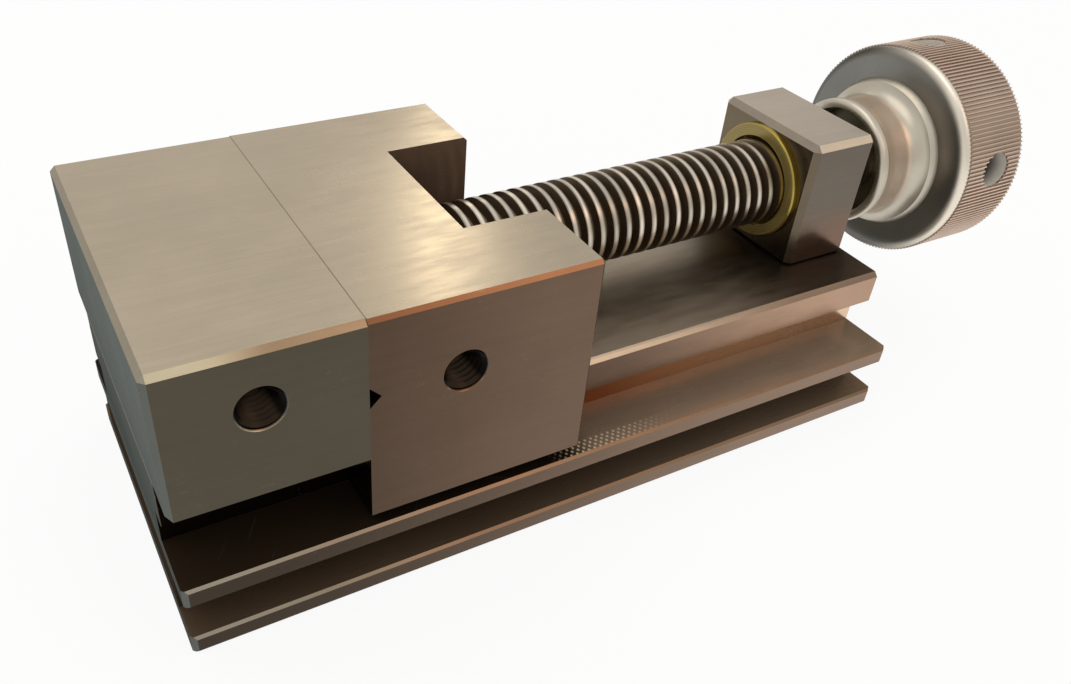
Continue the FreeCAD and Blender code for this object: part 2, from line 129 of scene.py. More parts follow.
@dataclass
class Nodes:
    """A shader tree that is being filled, with short ways to add nodes and join them."""

    tree: bpy.types.NodeTree

    def fill(self, node: bpy.types.Node, inputs: dict[str | int, Feed]) -> bpy.types.Node:
        """Feed inputs of a node, each with a socket to read or a plain value.

        Args:
            node: The node.
            inputs: What its inputs take, by name or number.

        Returns:
            The same node.
        """
        for name, value in inputs.items():
            if isinstance(value, Socket):
                self.tree.links.new(value, node.inputs[name])
            else:
                node.inputs[name].default_value = value
        return node

    def add(self, kind: str, inputs: dict[str | int, Feed], **settings: object) -> bpy.types.Node:
        """Add one node.

        Args:
            kind: Blender's name for the node.
            inputs: What its inputs take, by name or number.
            **settings: The node's own options.

        Returns:
            The new node.
        """
        node = self.tree.nodes.new(kind)
        for name, value in settings.items():
            setattr(node, name, value)
        return self.fill(node, inputs)

    def sum(self, operation: str, first: Feed, second: Feed = 0.0) -> Socket:
        """Work out one number from two, by Blender's name for the sum."""
        return self.add("ShaderNodeMath", {0: first, 1: second}, operation=operation).outputs[0]

    def times(self, first: Feed, *others: Feed) -> Feed:
        """Multiply numbers, which keeps a mask only where the other masks hold too.

        Args:
            first: The first number.
            *others: The numbers that it is multiplied by.

        Returns:
            The product.
        """
        for other in others:
            first = self.sum("MULTIPLY", first, other)
        return first

    def strongest(self, first: Feed, second: Feed) -> Socket:
        """The larger of two numbers."""
        return self.sum("MAXIMUM", first, second)

    def rest(self, share: Feed) -> Socket:
        """What a share leaves of the whole."""
        return self.sum("SUBTRACT", 1.0, share)

    def size(self, value: Feed) -> Socket:
        """A number without its sign."""
        return self.sum("ABSOLUTE", value)

    def distance(self, across: Feed, above: Feed) -> Socket:
        """How far a point lies from a middle, by its two offsets."""
        return self.sum("SQRT", self.sum("ADD", self.times(across, across), self.times(above, above)))

    def step(self, value: Feed, low: float, high: float, start: float = 0.0, end: float = 1.0) -> Socket:
        """Ease from a start to an end number as a value passes from a low mark to a high one."""
        inputs = dict(enumerate((value, low, high, start, end)))
        return self.add("ShaderNodeMapRange", inputs, interpolation_type="SMOOTHSTEP").outputs[0]

    def fall(self, value: Feed, low: float, high: float) -> Socket:
        """Mask that is 1 below one mark and fades to 0 at the next."""
        return self.step(value, low, high, 1.0, 0.0)

    def band(self, value: Feed, low: float, high: float, soft: float) -> Socket:
        """Mask that is 1 between two marks and fades outside them over a soft width."""
        return self.times(self.step(value, low - soft, low), self.fall(value, high, high + soft))

    def mix(self, share: Feed, first: Feed, second: Feed, blend: str = "MIX") -> Socket:
        """Mix a share of a second colour into a first, by Blender's name for the way of mixing."""
        inputs = {0: share, 6: first, 7: second}
        return self.add("ShaderNodeMix", inputs, data_type="RGBA", blend_type=blend).outputs[2]

    def shade(self, colour: Feed, amount: Feed) -> Socket:
        """Make a colour lighter or darker by a factor."""
        return self.mix(1.0, colour, amount, "MULTIPLY")

    def noise(self, vector: Feed, scale: float, detail: float = 3.0, roughness: float = 0.5) -> Socket:
        """Cloudy noise from 0 to 1, by its clouds in a metre and its finer layers' number and strength."""
        inputs = {"Vector": vector, "Scale": scale, "Detail": detail, "Roughness": roughness}
        return self.add("ShaderNodeTexNoise", inputs).outputs[0]

    def split(self, vector: Feed) -> tuple[Socket, ...]:
        """The X, Y and Z of a vector."""
        return tuple(self.add("ShaderNodeSeparateXYZ", {0: vector}).outputs)

    @cached_property
    def place(self) -> Socket:
        """The surface's own place, in metres."""
        return self.add("ShaderNodeTexCoord", {}).outputs["Object"]

    @cached_property
    def spot(self) -> tuple[Socket, ...]:
        """The surface's own place as X, Y and Z."""
        return self.split(self.place)

    @cached_property
    def facing(self) -> tuple[Socket, ...]:
        """The direction that the surface faces in the vise's own frame, as X, Y and Z."""
        return self.split(self.add("ShaderNodeTexCoord", {}).outputs["Normal"])

    @cached_property
    def across(self) -> Socket:
        """The distance from the vise's middle plane."""
        return self.size(self.spot[1])

    @cached_property
    def sideways(self) -> Socket:
        """Mask of the faces that look to either side."""
        return self.step(self.size(self.facing[1]), 0.8, 0.95)

    def stretched(self, vector: Feed, scale: Point, turn: float = 0.0) -> Socket:
        """Turn a pattern's place, then stretch it.

        Args:
            vector: The place.
            scale: Stretch along each axis.
            turn: Turn about Z in degrees.

        Returns:
            The new place.
        """
        turned = {"Vector": vector, "Rotation": (0.0, 0.0, math.radians(turn))}
        sized = {"Vector": self.add("ShaderNodeMapping", turned).outputs[0], "Scale": scale}
        return self.add("ShaderNodeMapping", sized).outputs[0]

    def group(self, tree: bpy.types.NodeTree, **values: Feed) -> dict[str, Socket]:
        """Place a shared group, feed its inputs by name and hand back its outputs by name."""
        node = self.add("ShaderNodeGroup", {}, node_tree=tree)
        return {socket.name: socket for socket in self.fill(node, values).outputs}

    def bump(self, height: Feed, strength: float, distance: float) -> Socket:
        """Bend the normal by a height, by the share that counts and the real height of a full step."""
        inputs = {"Height": height, "Strength": strength, "Distance": distance}
        return self.add("ShaderNodeBump", inputs).outputs[0]


def open_group(name: str, inputs: dict[str, str], outputs: dict[str, str]) -> tuple[Nodes, dict[str, Socket]]:
    """Start a node group that several materials share.

    Args:
        name: The group's name.
        inputs: Its inputs by name, with their kinds.
        outputs: Its outputs by name, with their kinds.

    Returns:
        The group's nodes and the sockets of its inputs.
    """
    tree = bpy.data.node_groups.new(name, "ShaderNodeTree")
    for ends, direction in ((inputs, "INPUT"), (outputs, "OUTPUT")):
        for socket, kind in ends.items():
            tree.interface.new_socket(socket, in_out=direction, socket_type="NodeSocket" + kind)
    nodes = Nodes(tree)
    return nodes, {socket.name: socket for socket in nodes.add("NodeGroupInput", {}).outputs}


@cache
def painted_facing_light() -> bpy.types.NodeTree:
    """Build the group that paints light and shade by the way a face looks, with a tone each for tops, sides,
    front ends, rear ends and bevels, standing for the light and reflections on each.

    Returns:
        The group's tree.
    """
    tones = {name: "Color" for name in ("Top", "Side", "End", "Rear", "Bevel")}
    nodes, given = open_group("facing_light_and_shade_tones", tones, {"Color": "Color", "Up": "Float"})
    x, _, z = nodes.facing
    # Painted light: each way a face looks takes its own tone, standing for the light and reflections that
    # fall on it.
    end_share = nodes.step(nodes.size(x), 0.3, 0.95)
    end_tone = nodes.mix(nodes.step(x, -0.1, 0.1), given["End"], given["Rear"])
    upright = nodes.mix(end_share, given["Side"], end_tone)
    along = nodes.mix(0.5, given["Top"], upright)
    bevel = nodes.mix(nodes.step(end_share, 0.1, 0.3), given["Bevel"], along)
    colour = nodes.mix(nodes.step(z, 0.3, 0.5), upright, bevel)
    top = nodes.step(z, 0.86, 0.96)
    nodes.add("NodeGroupOutput", {"Color": nodes.mix(top, colour, given["Top"]), "Up": top})
    return nodes.tree


@cache
def grinding_lines() -> bpy.types.NodeTree:
    """Build the group with the fine lines that a grinding wheel leaves along X, and the sheen between them.

    Returns:
        The group's tree.
    """
    nodes, _ = open_group("grinding_lines", {}, {"Lines": "Float", "Grain": "Float", "Cloud": "Float"})
    fine = nodes.noise(nodes.stretched(nodes.place, Pattern.line_stretch), Pattern.line_scale, 1.0, 0.5)
    wide = nodes.noise(nodes.stretched(nodes.place, Pattern.wide_stretch), Pattern.wide_scale, 2.0)
    wide = nodes.times(wide, Pattern.wide_share)
    grain = nodes.stretched(nodes.place, Pattern.grain_stretch)
    nodes.add("NodeGroupOutput", {
        "Lines": nodes.sum("ADD", nodes.times(fine, 1.0 - Pattern.wide_share), wide),
        "Grain": nodes.noise(grain, Pattern.grain_scale, 3.0, 0.55),
        "Cloud": nodes.noise(nodes.place, Pattern.cloud_scale, 4.0, 0.55),
    })
    return nodes.tree


@cache
def hairline_scratches() -> bpy.types.NodeTree:
    """Build the group with sparse short hairline scratches, at two crossing angles.

    Returns:
        The group's tree.
    """
    nodes, given = open_group("hairline_scratches", {"Amount": "Float"}, {"Marks": "Float"})
    masks = []
    for turn, move in zip(Pattern.scratch_turns, Pattern.scratch_moves):
        moved = nodes.add("ShaderNodeVectorMath", {0: nodes.place, 1: (move, move, move)}, operation="ADD")
        drawn = nodes.stretched(moved.outputs[0], Pattern.line_stretch, turn)
        masks.append(nodes.step(nodes.noise(drawn, Pattern.scratch_scale, 0.0), 0.735, 0.79))
    sparse = nodes.step(nodes.noise(nodes.place, Pattern.patch_scale, 2.0), 0.5, 0.62)
    nodes.add("NodeGroupOutput", {"Marks": nodes.times(nodes.strongest(*masks), sparse, given["Amount"])})
    return nodes.tree


@cache
def turned_rings() -> bpy.types.NodeTree:
    """Build the group with the fine rings that a lathe leaves round the screw's axis.

    Returns:
        The group's tree.
    """
    nodes, _ = open_group("turned_rings", {}, {"Rings": "Float", "Bands": "Float", "Radius": "Float"})
    x, y, z = nodes.spot
    radius = nodes.distance(y, nodes.sum("SUBTRACT", z, Layout.screw_height))
    joined = nodes.add("ShaderNodeCombineXYZ", {0: x, 1: radius}).outputs[0]
    rings = nodes.noise(joined, Pattern.ring_scale, 2.0, 0.6)
    bands = nodes.noise(joined, Pattern.band_scale, 2.0)
    nodes.add("NodeGroupOutput", {"Rings": rings, "Bands": bands, "Radius": radius})
    return nodes.tree


def new_material(name: str) -> tuple[bpy.types.Material, Nodes, bpy.types.Node]:
    """Start a material with an empty Principled shader.

    Args:
        name: The material's name.

    Returns:
        The material, its tree and its shader.
    """
    material = bpy.data.materials.new(name)
    material.use_nodes = True
    return material, Nodes(material.node_tree), material.node_tree.nodes["Principled BSDF"]


@dataclass
class Coat:
    """A material's colour while zones are laid over it, with the mask of the faces that look up."""

    nodes: Nodes
    colour: Socket
    top: Feed = 0.0

    def lay(self, mask: Feed, colour: Feed) -> None:
        """Lay a colour where a mask holds."""
        self.colour = self.nodes.mix(mask, self.colour, colour)

    def shade(self, amount: Feed) -> None:
        """Make the coat lighter or darker by a factor."""
        self.colour = self.nodes.shade(self.colour, amount)


@dataclass(frozen=True)
class GroundSteel:
    """Surface-ground steel, with a painted tone for each way a face looks, standing for the light and
    reflections that fall on it.
    """

    name: str
    # Painted light: the tones of faces that look up, to the side, to the front end and to the rear, and of
    # the bevels.
    top: str
    side: str
    end: str
    rear: str
    bevel: str
    roughness: float = 0.23
    scratches: float = 0.02
    scratch: str = "E6E0D4"
    relief: float = 0.0004 * MM
    seam: str = "6A5E4E"
    seam_half: float = 0.07 * MM
    # Painted shade inside the tapped holes, with painted light where their walls look up.
    hole: str = "120E0B"
    lit_hole_floor: str = "30271F"
    hole_rim: float = Layout.hole_radius + 0.4 * MM

    def zones(self, coat: Coat) -> None:
        """Lay the tones that belong to one place on the piece. The plain finish has none."""

    def edge(self, nodes: Nodes) -> Feed:
        """Tone of the bevels, painted light on the edges. The plain finish has one all round."""
        return tone(self.bevel)

    def shine(self, nodes: Nodes) -> Feed:
        """How much of the surface is bare metal. The plain finish is bare all over."""
        return 1.0

    def dullness(self, nodes: Nodes) -> Feed:
        """Roughness added in some places. The plain finish has none."""
        return 0.0

    def jaw_marks(self, coat: Coat, hole_place: float, hole_height: float) -> None:
        """Draw what both jaws share: the fine seam where they meet, and painted shade inside a tapped hole,
        lighter where its wall looks up.

        Args:
            coat: The colour so far.
            hole_place: The tapped hole's place along X.
            hole_height: The hole's height.
        """
        nodes = coat.nodes
        x, _, z = nodes.spot
        high = nodes.step(z, Layout.fixed_hole_height, Layout.fixed_hole_height + 1.0 * MM)
        seam = nodes.times(nodes.band(x, -self.seam_half, self.seam_half, HAIR / 2), coat.top, high, 0.75)
        coat.lay(seam, tone(self.seam))
        # Painted shade inside the tapped hole, lighter where its wall looks up.
        radius = nodes.distance(nodes.sum("SUBTRACT", x, hole_place), nodes.sum("SUBTRACT", z, hole_height))
        inside = nodes.fall(radius, self.hole_rim, self.hole_rim + 2 * HAIR)
        deep = nodes.fall(nodes.across, Layout.half_width - 3 * HAIR, Layout.half_width - HAIR / 5)
        wall = nodes.mix(nodes.step(nodes.facing[2], 0.2, 0.95), tone(self.hole), tone(self.lit_hole_floor))
        coat.lay(nodes.times(inside, deep), wall)

    def build(self) -> bpy.types.Material:
        """Build the material.

        Returns:
            The finished material.
        """
        material, nodes, shader = new_material(self.name)
        tones = {"Top": self.top, "Side": self.side, "End": self.end, "Rear": self.rear}
        tones = {face: tone(code) for face, code in tones.items()}
        faces = nodes.group(painted_facing_light(), Bevel=self.edge(nodes), **tones)
        ground = nodes.group(grinding_lines())
        marks = nodes.group(hairline_scratches(), Amount=self.scratches)["Marks"]
        coat = Coat(nodes, faces["Color"], faces["Up"])
        self.zones(coat)
        cloud = nodes.step(ground["Cloud"], 0.25, 0.75, 0.94, 1.05)
        coat.shade(nodes.times(cloud, nodes.step(ground["Lines"], 0.3, 0.7, 0.975, 1.025)))
        coat.lay(marks, tone(self.scratch))
        rough = nodes.step(ground["Grain"], 0.3, 0.7, self.roughness - 0.03, self.roughness + 0.05)
        nodes.fill(shader, {
            "Base Color": coat.colour,
            "Metallic": self.shine(nodes),
            "Specular IOR Level": 0.0,
            "Roughness": nodes.sum("ADD", rough, self.dullness(nodes)),
            "Normal": nodes.bump(ground["Lines"], 0.1, self.relief),
        })
        return material


@dataclass(frozen=True)
class JawSteel(GroundSteel):
    """The moving jaw's steel, with painted shade on its sides and ends towards its gripping face and on its
    top towards the rear, and oily in its notch.
    """

    notch_half: float = 17.0 * MM
    notch_oil: float = 0.6
    grip_shade: float = 0.58
    rear_shade: float = 0.87

    def shine(self, nodes: Nodes) -> Feed:
        """How bare the metal is: dull with old oil on the walls of the notch round the screw."""
        inner = nodes.fall(nodes.across, self.notch_half, self.notch_half + 5 * HAIR)
        return nodes.rest(nodes.times(nodes.sideways, inner, self.notch_oil))

    def zones(self, coat: Coat) -> None:
        """Paint shade on the jaw along its length, and draw the seam and the tapped hole.

        Args:
            coat: The colour so far.
        """
        nodes = coat.nodes
        # Painted shade: the sides and ends darken towards the gripping face, and the top towards the rear.
        upright = nodes.step(nodes.spot[0], -5.0 * MM, 38.0 * MM, self.grip_shade, 1.0)
        level = nodes.times(coat.top, nodes.step(nodes.spot[0], 20.0 * MM, 42.0 * MM, 1.0, self.rear_shade))
        coat.shade(nodes.mix(coat.top, upright, level))
        self.jaw_marks(coat, Layout.side_hole_setback, Layout.screw_height)


@dataclass(frozen=True)
class BlockSteel(GroundSteel):
    """The screw block's steel, warmer low on its sides and dark in the joint at its foot."""

    joint: str = "17120D"
    foot: str = "7C6353"

    def zones(self, coat: Coat) -> None:
        """Warm the lower sides and darken the joint at the block's foot.

        Args:
            coat: The colour so far.
        """
        nodes = coat.nodes
        low = nodes.fall(nodes.spot[2], Layout.rail_top + 4.0 * MM, Layout.screw_height + 2.0 * MM)
        coat.lay(nodes.times(nodes.sideways, low), tone(self.foot))
        joint = nodes.fall(nodes.spot[2], Layout.rail_top + 0.35 * MM, Layout.rail_top + 0.55 * MM)
        coat.lay(joint, tone(self.joint))


@dataclass(frozen=True)
class BedSteel(GroundSteel):
    """The bed's steel, with painted shade in its groove, a painted reflection on its neck, and painted light
    that changes along its length. Pairs of tones go from front to rear.
    """

    # Painted shade in the clamping groove.
    groove: str = "3A2E22"
    # Painted light along the bed: the land, foot, rail, rail side and flange tones change from front to rear
    # with the light and reflections that fall there, the edge tones are painted highlights, the neck takes a
    # painted reflection, and shadow is painted shadow.
    land: Pair = ("6A5846", "84715C")
    neck: Pair = ("96592F", "E6C6AA")
    shadow: str = "0F0A06"
    foot: Pair = ("3F352B", "8A725F")
    rail: Pair = ("A09280", "544A3F")
    rail_side: Pair = ("5F4B3D", "B5937A")
    rail_edge_highlight: Pair = ("B4A692", "8C7764")
    flange: Pair = ("2C2319", "96826E")
    flange_edge_highlight: Pair = ("A09684", "866C55")
    # Painted light on the rail's side under the fixed jaw, and a painted highlight on the fixed jaw's front
    # bevel.
    rebate: str = "8E6C50"
    jaw_bevel_highlight: str = "CEC2A2"
    # Scraped diamonds, drawn in a painted highlight tone.
    diamond_highlight: str = "F2E4C4"
    diamond_share: float = 0.8
    diamond_turn: float = 38.0
    diamond_scale: float = 290.0
    end_shine: float = 0.04
    # How much less bare the metal is in the groove and the rebate, where painted shade lies.
    oil_and_shade: float = 0.9
    haze: float = 0.55
    rail_wear: float = 0.14
    soft: float = 0.4 * MM

    def along(self, nodes: Nodes, low: float, high: float, ends: Pair) -> Socket:
        """Tone that changes along the bed from one to the other, between two places."""
        return nodes.mix(nodes.step(nodes.spot[0], low, high), tone(ends[0]), tone(ends[1]))

    def level(self, nodes: Nodes, height: float, reach: float, soft: float) -> Socket:
        """Mask of what lies within reach of a height."""
        return nodes.band(nodes.spot[2], height - reach, height + reach, soft)

    def shine(self, nodes: Nodes) -> Feed:
        """How bare the metal is: dull on the end face, under the fixed jaw, in the groove and on the flanges.

        Args:
            nodes: The material's tree.

        Returns:
            The share of bare metal.
        """
        x, _, z = nodes.spot
        ahead, _, up = nodes.facing
        end = nodes.step(ahead, -0.9, -0.6, self.end_shine, 1.0)
        rebate = nodes.times(nodes.band(z, Layout.flange_top - HAIR, Layout.wing_bottom - 2 * HAIR, HAIR),
                             nodes.fall(x, 0.0, 6.0 * MM))
        groove = nodes.band(z, Layout.groove_low + HAIR, Layout.groove_high - HAIR, HAIR)
        inner = nodes.fall(nodes.across, Layout.half_width - 7 * HAIR, Layout.half_width - 5 * HAIR)
        hidden = nodes.times(nodes.strongest(rebate, groove), inner, self.oil_and_shade)
        flat = nodes.strongest(self.level(nodes, Layout.flange_top, 2 * HAIR, HAIR),
                               self.level(nodes, Layout.groove_low, 3 * HAIR, HAIR))
        hazy = nodes.times(flat, nodes.step(up, 0.9, 0.95), self.haze)
        return nodes.times(end, nodes.rest(nodes.strongest(hidden, hazy)))

    def dullness(self, nodes: Nodes) -> Feed:
        """Roughen the top of the rail, where the jaw has worn it."""
        return nodes.times(self.level(nodes, Layout.rail_top, 3 * HAIR, HAIR), self.rail_wear)

    def edge(self, nodes: Nodes) -> Feed:
        """Tone of the bevels, painted highlights that change along the bed: one for the flanges, one for the
        rail and one for the fixed jaw.

        Args:
            nodes: The material's tree.

        Returns:
            The tone's socket.
        """
        z = nodes.spot[2]
        # Painted highlights on the bevels, fading along the bed.
        jaw = self.along(nodes, -26.0 * MM, -14.0 * MM, (self.jaw_bevel_highlight, self.bevel))
        rail = self.along(nodes, 60.0 * MM, 110.0 * MM, self.rail_edge_highlight)
        flange = self.along(nodes, Layout.fixed_end, 30.0 * MM, self.flange_edge_highlight)
        lower = nodes.mix(nodes.step(z, Layout.overhang, Layout.overhang + 1.0 * MM), flange, rail)
        return nodes.mix(nodes.step(z, Layout.jaw_middle - HAIR, Layout.jaw_middle), lower, jaw)

    def lay_sides(self, coat: Coat) -> None:
        """Darken the end face towards the foot, and paint light on the sides of the flanges and of the rail,
        changing along the bed.

        Args:
            coat: The colour so far.
        """
        nodes = coat.nodes
        z = nodes.spot[2]
        darker = nodes.shade(coat.colour, nodes.step(z, 2.0 * MM, 58.0 * MM, 0.5, 1.0))
        coat.lay(nodes.fall(nodes.facing[0], -0.9, -0.6), darker)
        # Painted light along the sides of the lower flange and of the rail, lighter towards the rear.
        foot = self.along(nodes, -30.0 * MM, 110.0 * MM, self.foot)
        rail = self.along(nodes, 45.0 * MM, 115.0 * MM, self.rail_side)
        upper = nodes.step(z, Layout.flange_top + 1.0 * MM, Layout.flange_top + 2.0 * MM)
        low = nodes.fall(z, Layout.wing_bottom - 1.5 * MM, Layout.wing_bottom - 1.4 * MM)
        coat.lay(nodes.times(nodes.sideways, low), nodes.mix(upper, foot, rail))

    def lay_tops(self, coat: Coat) -> None:
        """Paint light on the tops of the flange and of the rail: painted shadow on the flange under the
        moving jaw, lighter behind it, and a painted reflection on the rail that darkens towards the block.

        Args:
            coat: The colour so far.
        """
        nodes = coat.nodes
        low = nodes.fall(nodes.spot[2], Layout.flange_top + self.soft, Layout.flange_top + 2 * self.soft)
        # Painted shadow on the flange's top under the moving jaw, lighter behind it.
        flange = self.along(nodes, Layout.jaw_rear - 2.0 * MM, Layout.jaw_rear + 6.0 * MM, self.flange)
        coat.lay(nodes.times(low, coat.top), nodes.mix(self.diamonds(nodes), flange, tone(self.diamond_highlight)))
        # Painted reflection on the rail's top, darker towards the block.
        rail = nodes.times(coat.top, self.level(nodes, Layout.rail_top, self.soft, self.soft / 2))
        coat.lay(rail, self.along(nodes, 85.0 * MM, 112.0 * MM, self.rail))

    def lay_hollows(self, coat: Coat) -> None:
        """Paint shade in the clamping groove, painted light along the groove's floor, a painted reflection on
        the neck under the rail that turns to painted shadow under the moving jaw, painted shadow where the
        fixed jaw covers, and painted light on the rail's side under the fixed jaw.

        Args:
            coat: The colour so far.
        """
        nodes = coat.nodes
        x, _, z = nodes.spot
        # Painted shade in the clamping groove.
        groove = nodes.band(z, Layout.groove_low + self.soft, Layout.groove_high - self.soft, self.soft)
        inner = nodes.fall(nodes.across, Layout.half_width - 15 * HAIR, Layout.half_width - 4 * HAIR)
        coat.lay(nodes.times(groove, inner), tone(self.groove))
        # Painted light along the groove's floor, darker at the front.
        land = nodes.times(coat.top, self.level(nodes, Layout.groove_low, self.soft, self.soft / 4))
        coat.lay(land, self.along(nodes, 20.0 * MM, 100.0 * MM, self.land))
        # Painted reflection on the neck under the rail, turning to painted shadow under the moving jaw.
        neck = nodes.band(nodes.across, Layout.neck_half - 2 * HAIR, Layout.neck_half + 2 * HAIR, HAIR)
        neck = nodes.times(nodes.band(z, Layout.flange_top + HAIR, Layout.overhang, HAIR), neck)
        warm = self.along(nodes, Layout.jaw_rear, 100.0 * MM, self.neck)
        coat.lay(neck, nodes.mix(nodes.step(x, 8.0 * MM, 32.0 * MM), tone(self.shadow), warm))
        # Painted shadow under the fixed jaw's wings.
        wing = nodes.times(nodes.band(z, Layout.flange_top + HAIR, Layout.wing_bottom - HAIR, HAIR),
                           nodes.fall(x, -1.0 * MM, 0.0),
                           nodes.fall(nodes.across, Layout.half_width - 1.0 * MM, Layout.half_width),
                           nodes.step(x, Layout.fixed_end, Layout.fixed_end + HAIR))
        coat.lay(wing, tone(self.shadow))
        # Painted light on the rail's side under the fixed jaw's wing.
        lit = nodes.times(nodes.band(z, Layout.overhang - 2 * HAIR, Layout.rail_top, 3 * HAIR), wing,
                          nodes.step(x, Layout.fixed_end + 1.5 * MM, Layout.fixed_end + 5.0 * MM))
        coat.lay(lit, tone(self.rebate))

    def zones(self, coat: Coat) -> None:
        """Tone the bed place by place.

        Args:
            coat: The colour so far.
        """
        self.lay_sides(coat)
        self.lay_tops(coat)
        self.lay_hollows(coat)
        self.jaw_marks(coat, -Layout.side_hole_setback, Layout.fixed_hole_height)

    def diamonds(self, nodes: Nodes) -> Socket:
        """Mask of the tiny scraped diamonds along the flange's edge behind the moving jaw, where they take a
        painted highlight.

        Args:
            nodes: The material's tree.

        Returns:
            The mask's socket.
        """
        waves = []
        for turn in (self.diamond_turn, -self.diamond_turn):
            turned = nodes.stretched(nodes.place, (1.0, 1.0, 1.0), turn)
            inputs = {"Vector": turned, "Scale": self.diamond_scale}
            wave = nodes.add("ShaderNodeTexWave", inputs, wave_type="BANDS", bands_direction="X")
            waves.append(wave.outputs["Fac"])
        strip = nodes.band(nodes.across, Layout.half_width - 3.4 * MM, Layout.half_width - 0.6 * MM, 4 * HAIR)
        start = nodes.step(nodes.spot[0], Layout.jaw_rear - 6.0 * MM, Layout.jaw_rear)
        stop = nodes.fall(nodes.spot[0], Layout.jaw_rear + 6.0 * MM, Layout.jaw_rear + 26.0 * MM)
        return nodes.times(strip, start, stop, nodes.step(nodes.times(*waves), 0.3, 0.6), self.diamond_share)


@dataclass(frozen=True)
class ScrewSteel:
    """Turned steel whose thread has a painted highlight along its crests, and painted shade and a duller
    sheen in its grooves.
    """

    name: str = "screw_steel"
    # Painted highlight along the crests, darker at their edges, and painted shade in the grooves.
    crest: str = "E6DCCC"
    crest_edge_shade: str = "A29482"
    groove: str = "7C6E5C"
    pitch: float = 3.175 * MM
    crest_phase: float = 0.125
    crest_radius: float = 9.5 * MM
    root_radius: float = 9.25 * MM
    thread_start: float = 26.8 * MM
    thread_end: float = 131.0 * MM
    relief: float = 0.001 * MM

    def crest_highlight(self, nodes: Nodes) -> Socket:
        """Mask of the painted highlight along the middle of the crest.

        Args:
            nodes: The material's tree.

        Returns:
            The mask's socket.
        """
        x, y, z = nodes.spot
        angle = nodes.sum("ARCTAN2", nodes.sum("SUBTRACT", z, Layout.screw_height), y)
        turns = nodes.sum("DIVIDE", x, self.pitch)
        turns = nodes.sum("SUBTRACT", turns, nodes.sum("DIVIDE", angle, math.tau))
        turned = nodes.sum("FRACT", nodes.sum("SUBTRACT", turns, self.crest_phase - 0.5))
        return nodes.fall(nodes.size(nodes.sum("SUBTRACT", turned, 0.5)), 0.04, 0.17)

    def build(self) -> bpy.types.Material:
        """Build the material.

        Returns:
            The finished material.
        """
        material, nodes, shader = new_material(self.name)
        rings = nodes.group(turned_rings())
        threaded = nodes.band(nodes.spot[0], self.thread_start, self.thread_end, 2 * HAIR)
        # Painted shade in the thread's grooves, which are also made rougher.
        oil_and_shade = nodes.times(nodes.fall(rings["Radius"], self.root_radius, self.crest_radius), threaded)
        shine = nodes.strongest(self.crest_highlight(nodes), nodes.rest(threaded))
        bright = nodes.mix(shine, tone(self.crest_edge_shade), tone(self.crest))
        bright = nodes.shade(bright, nodes.step(rings["Bands"], 0.35, 0.65, 0.62, 1.0))
        rough = nodes.step(rings["Rings"], 0.3, 0.7, 0.26, 0.36)
        nodes.fill(shader, {
            "Base Color": nodes.mix(oil_and_shade, bright, tone(self.groove)),
            "Metallic": 1.0,
            "Roughness": nodes.sum("ADD", rough, nodes.times(oil_and_shade, 0.12)),
            "Normal": nodes.bump(rings["Rings"], 0.3, self.relief),
        })
        return material


@dataclass(frozen=True)
class TurnedMetal:
    """Metal turned on a lathe, with faint rings. Its flat front may take a painted tone of its own, standing
    for the light and reflection on the face that looks forward.
    """

    name: str
    light: str
    dark: str
    roughness: float
    front: str = ""
    front_oil: float = 0.5
    ring_depth: float = 0.4
    relief: float = 0.001 * MM

    def build(self) -> bpy.types.Material:
        """Build the material.

        Returns:
            The finished material.
        """
        material, nodes, shader = new_material(self.name)
        rings = nodes.group(turned_rings())
        cloud = nodes.group(grinding_lines())["Cloud"]
        colour = nodes.mix(nodes.step(rings["Bands"], 0.3, 0.7), tone(self.light), tone(self.dark))
        colour = nodes.shade(colour, nodes.step(cloud, 0.25, 0.75, 0.88, 1.06))
        metal = 1.0
        # Painted light: the face that looks forward takes its own tone.
        if self.front:
            front = nodes.fall(nodes.facing[0], -0.98, -0.85)
            colour = nodes.mix(front, colour, tone(self.front))
            metal = nodes.rest(nodes.times(front, self.front_oil))
        nodes.fill(shader, {
            "Base Color": colour,
            "Metallic": metal,
            "Roughness": nodes.step(rings["Rings"], 0.3, 0.7, self.roughness - 0.05, self.roughness + 0.07),
            "Normal": nodes.bump(rings["Rings"], self.ring_depth, self.relief),
        })
        return material


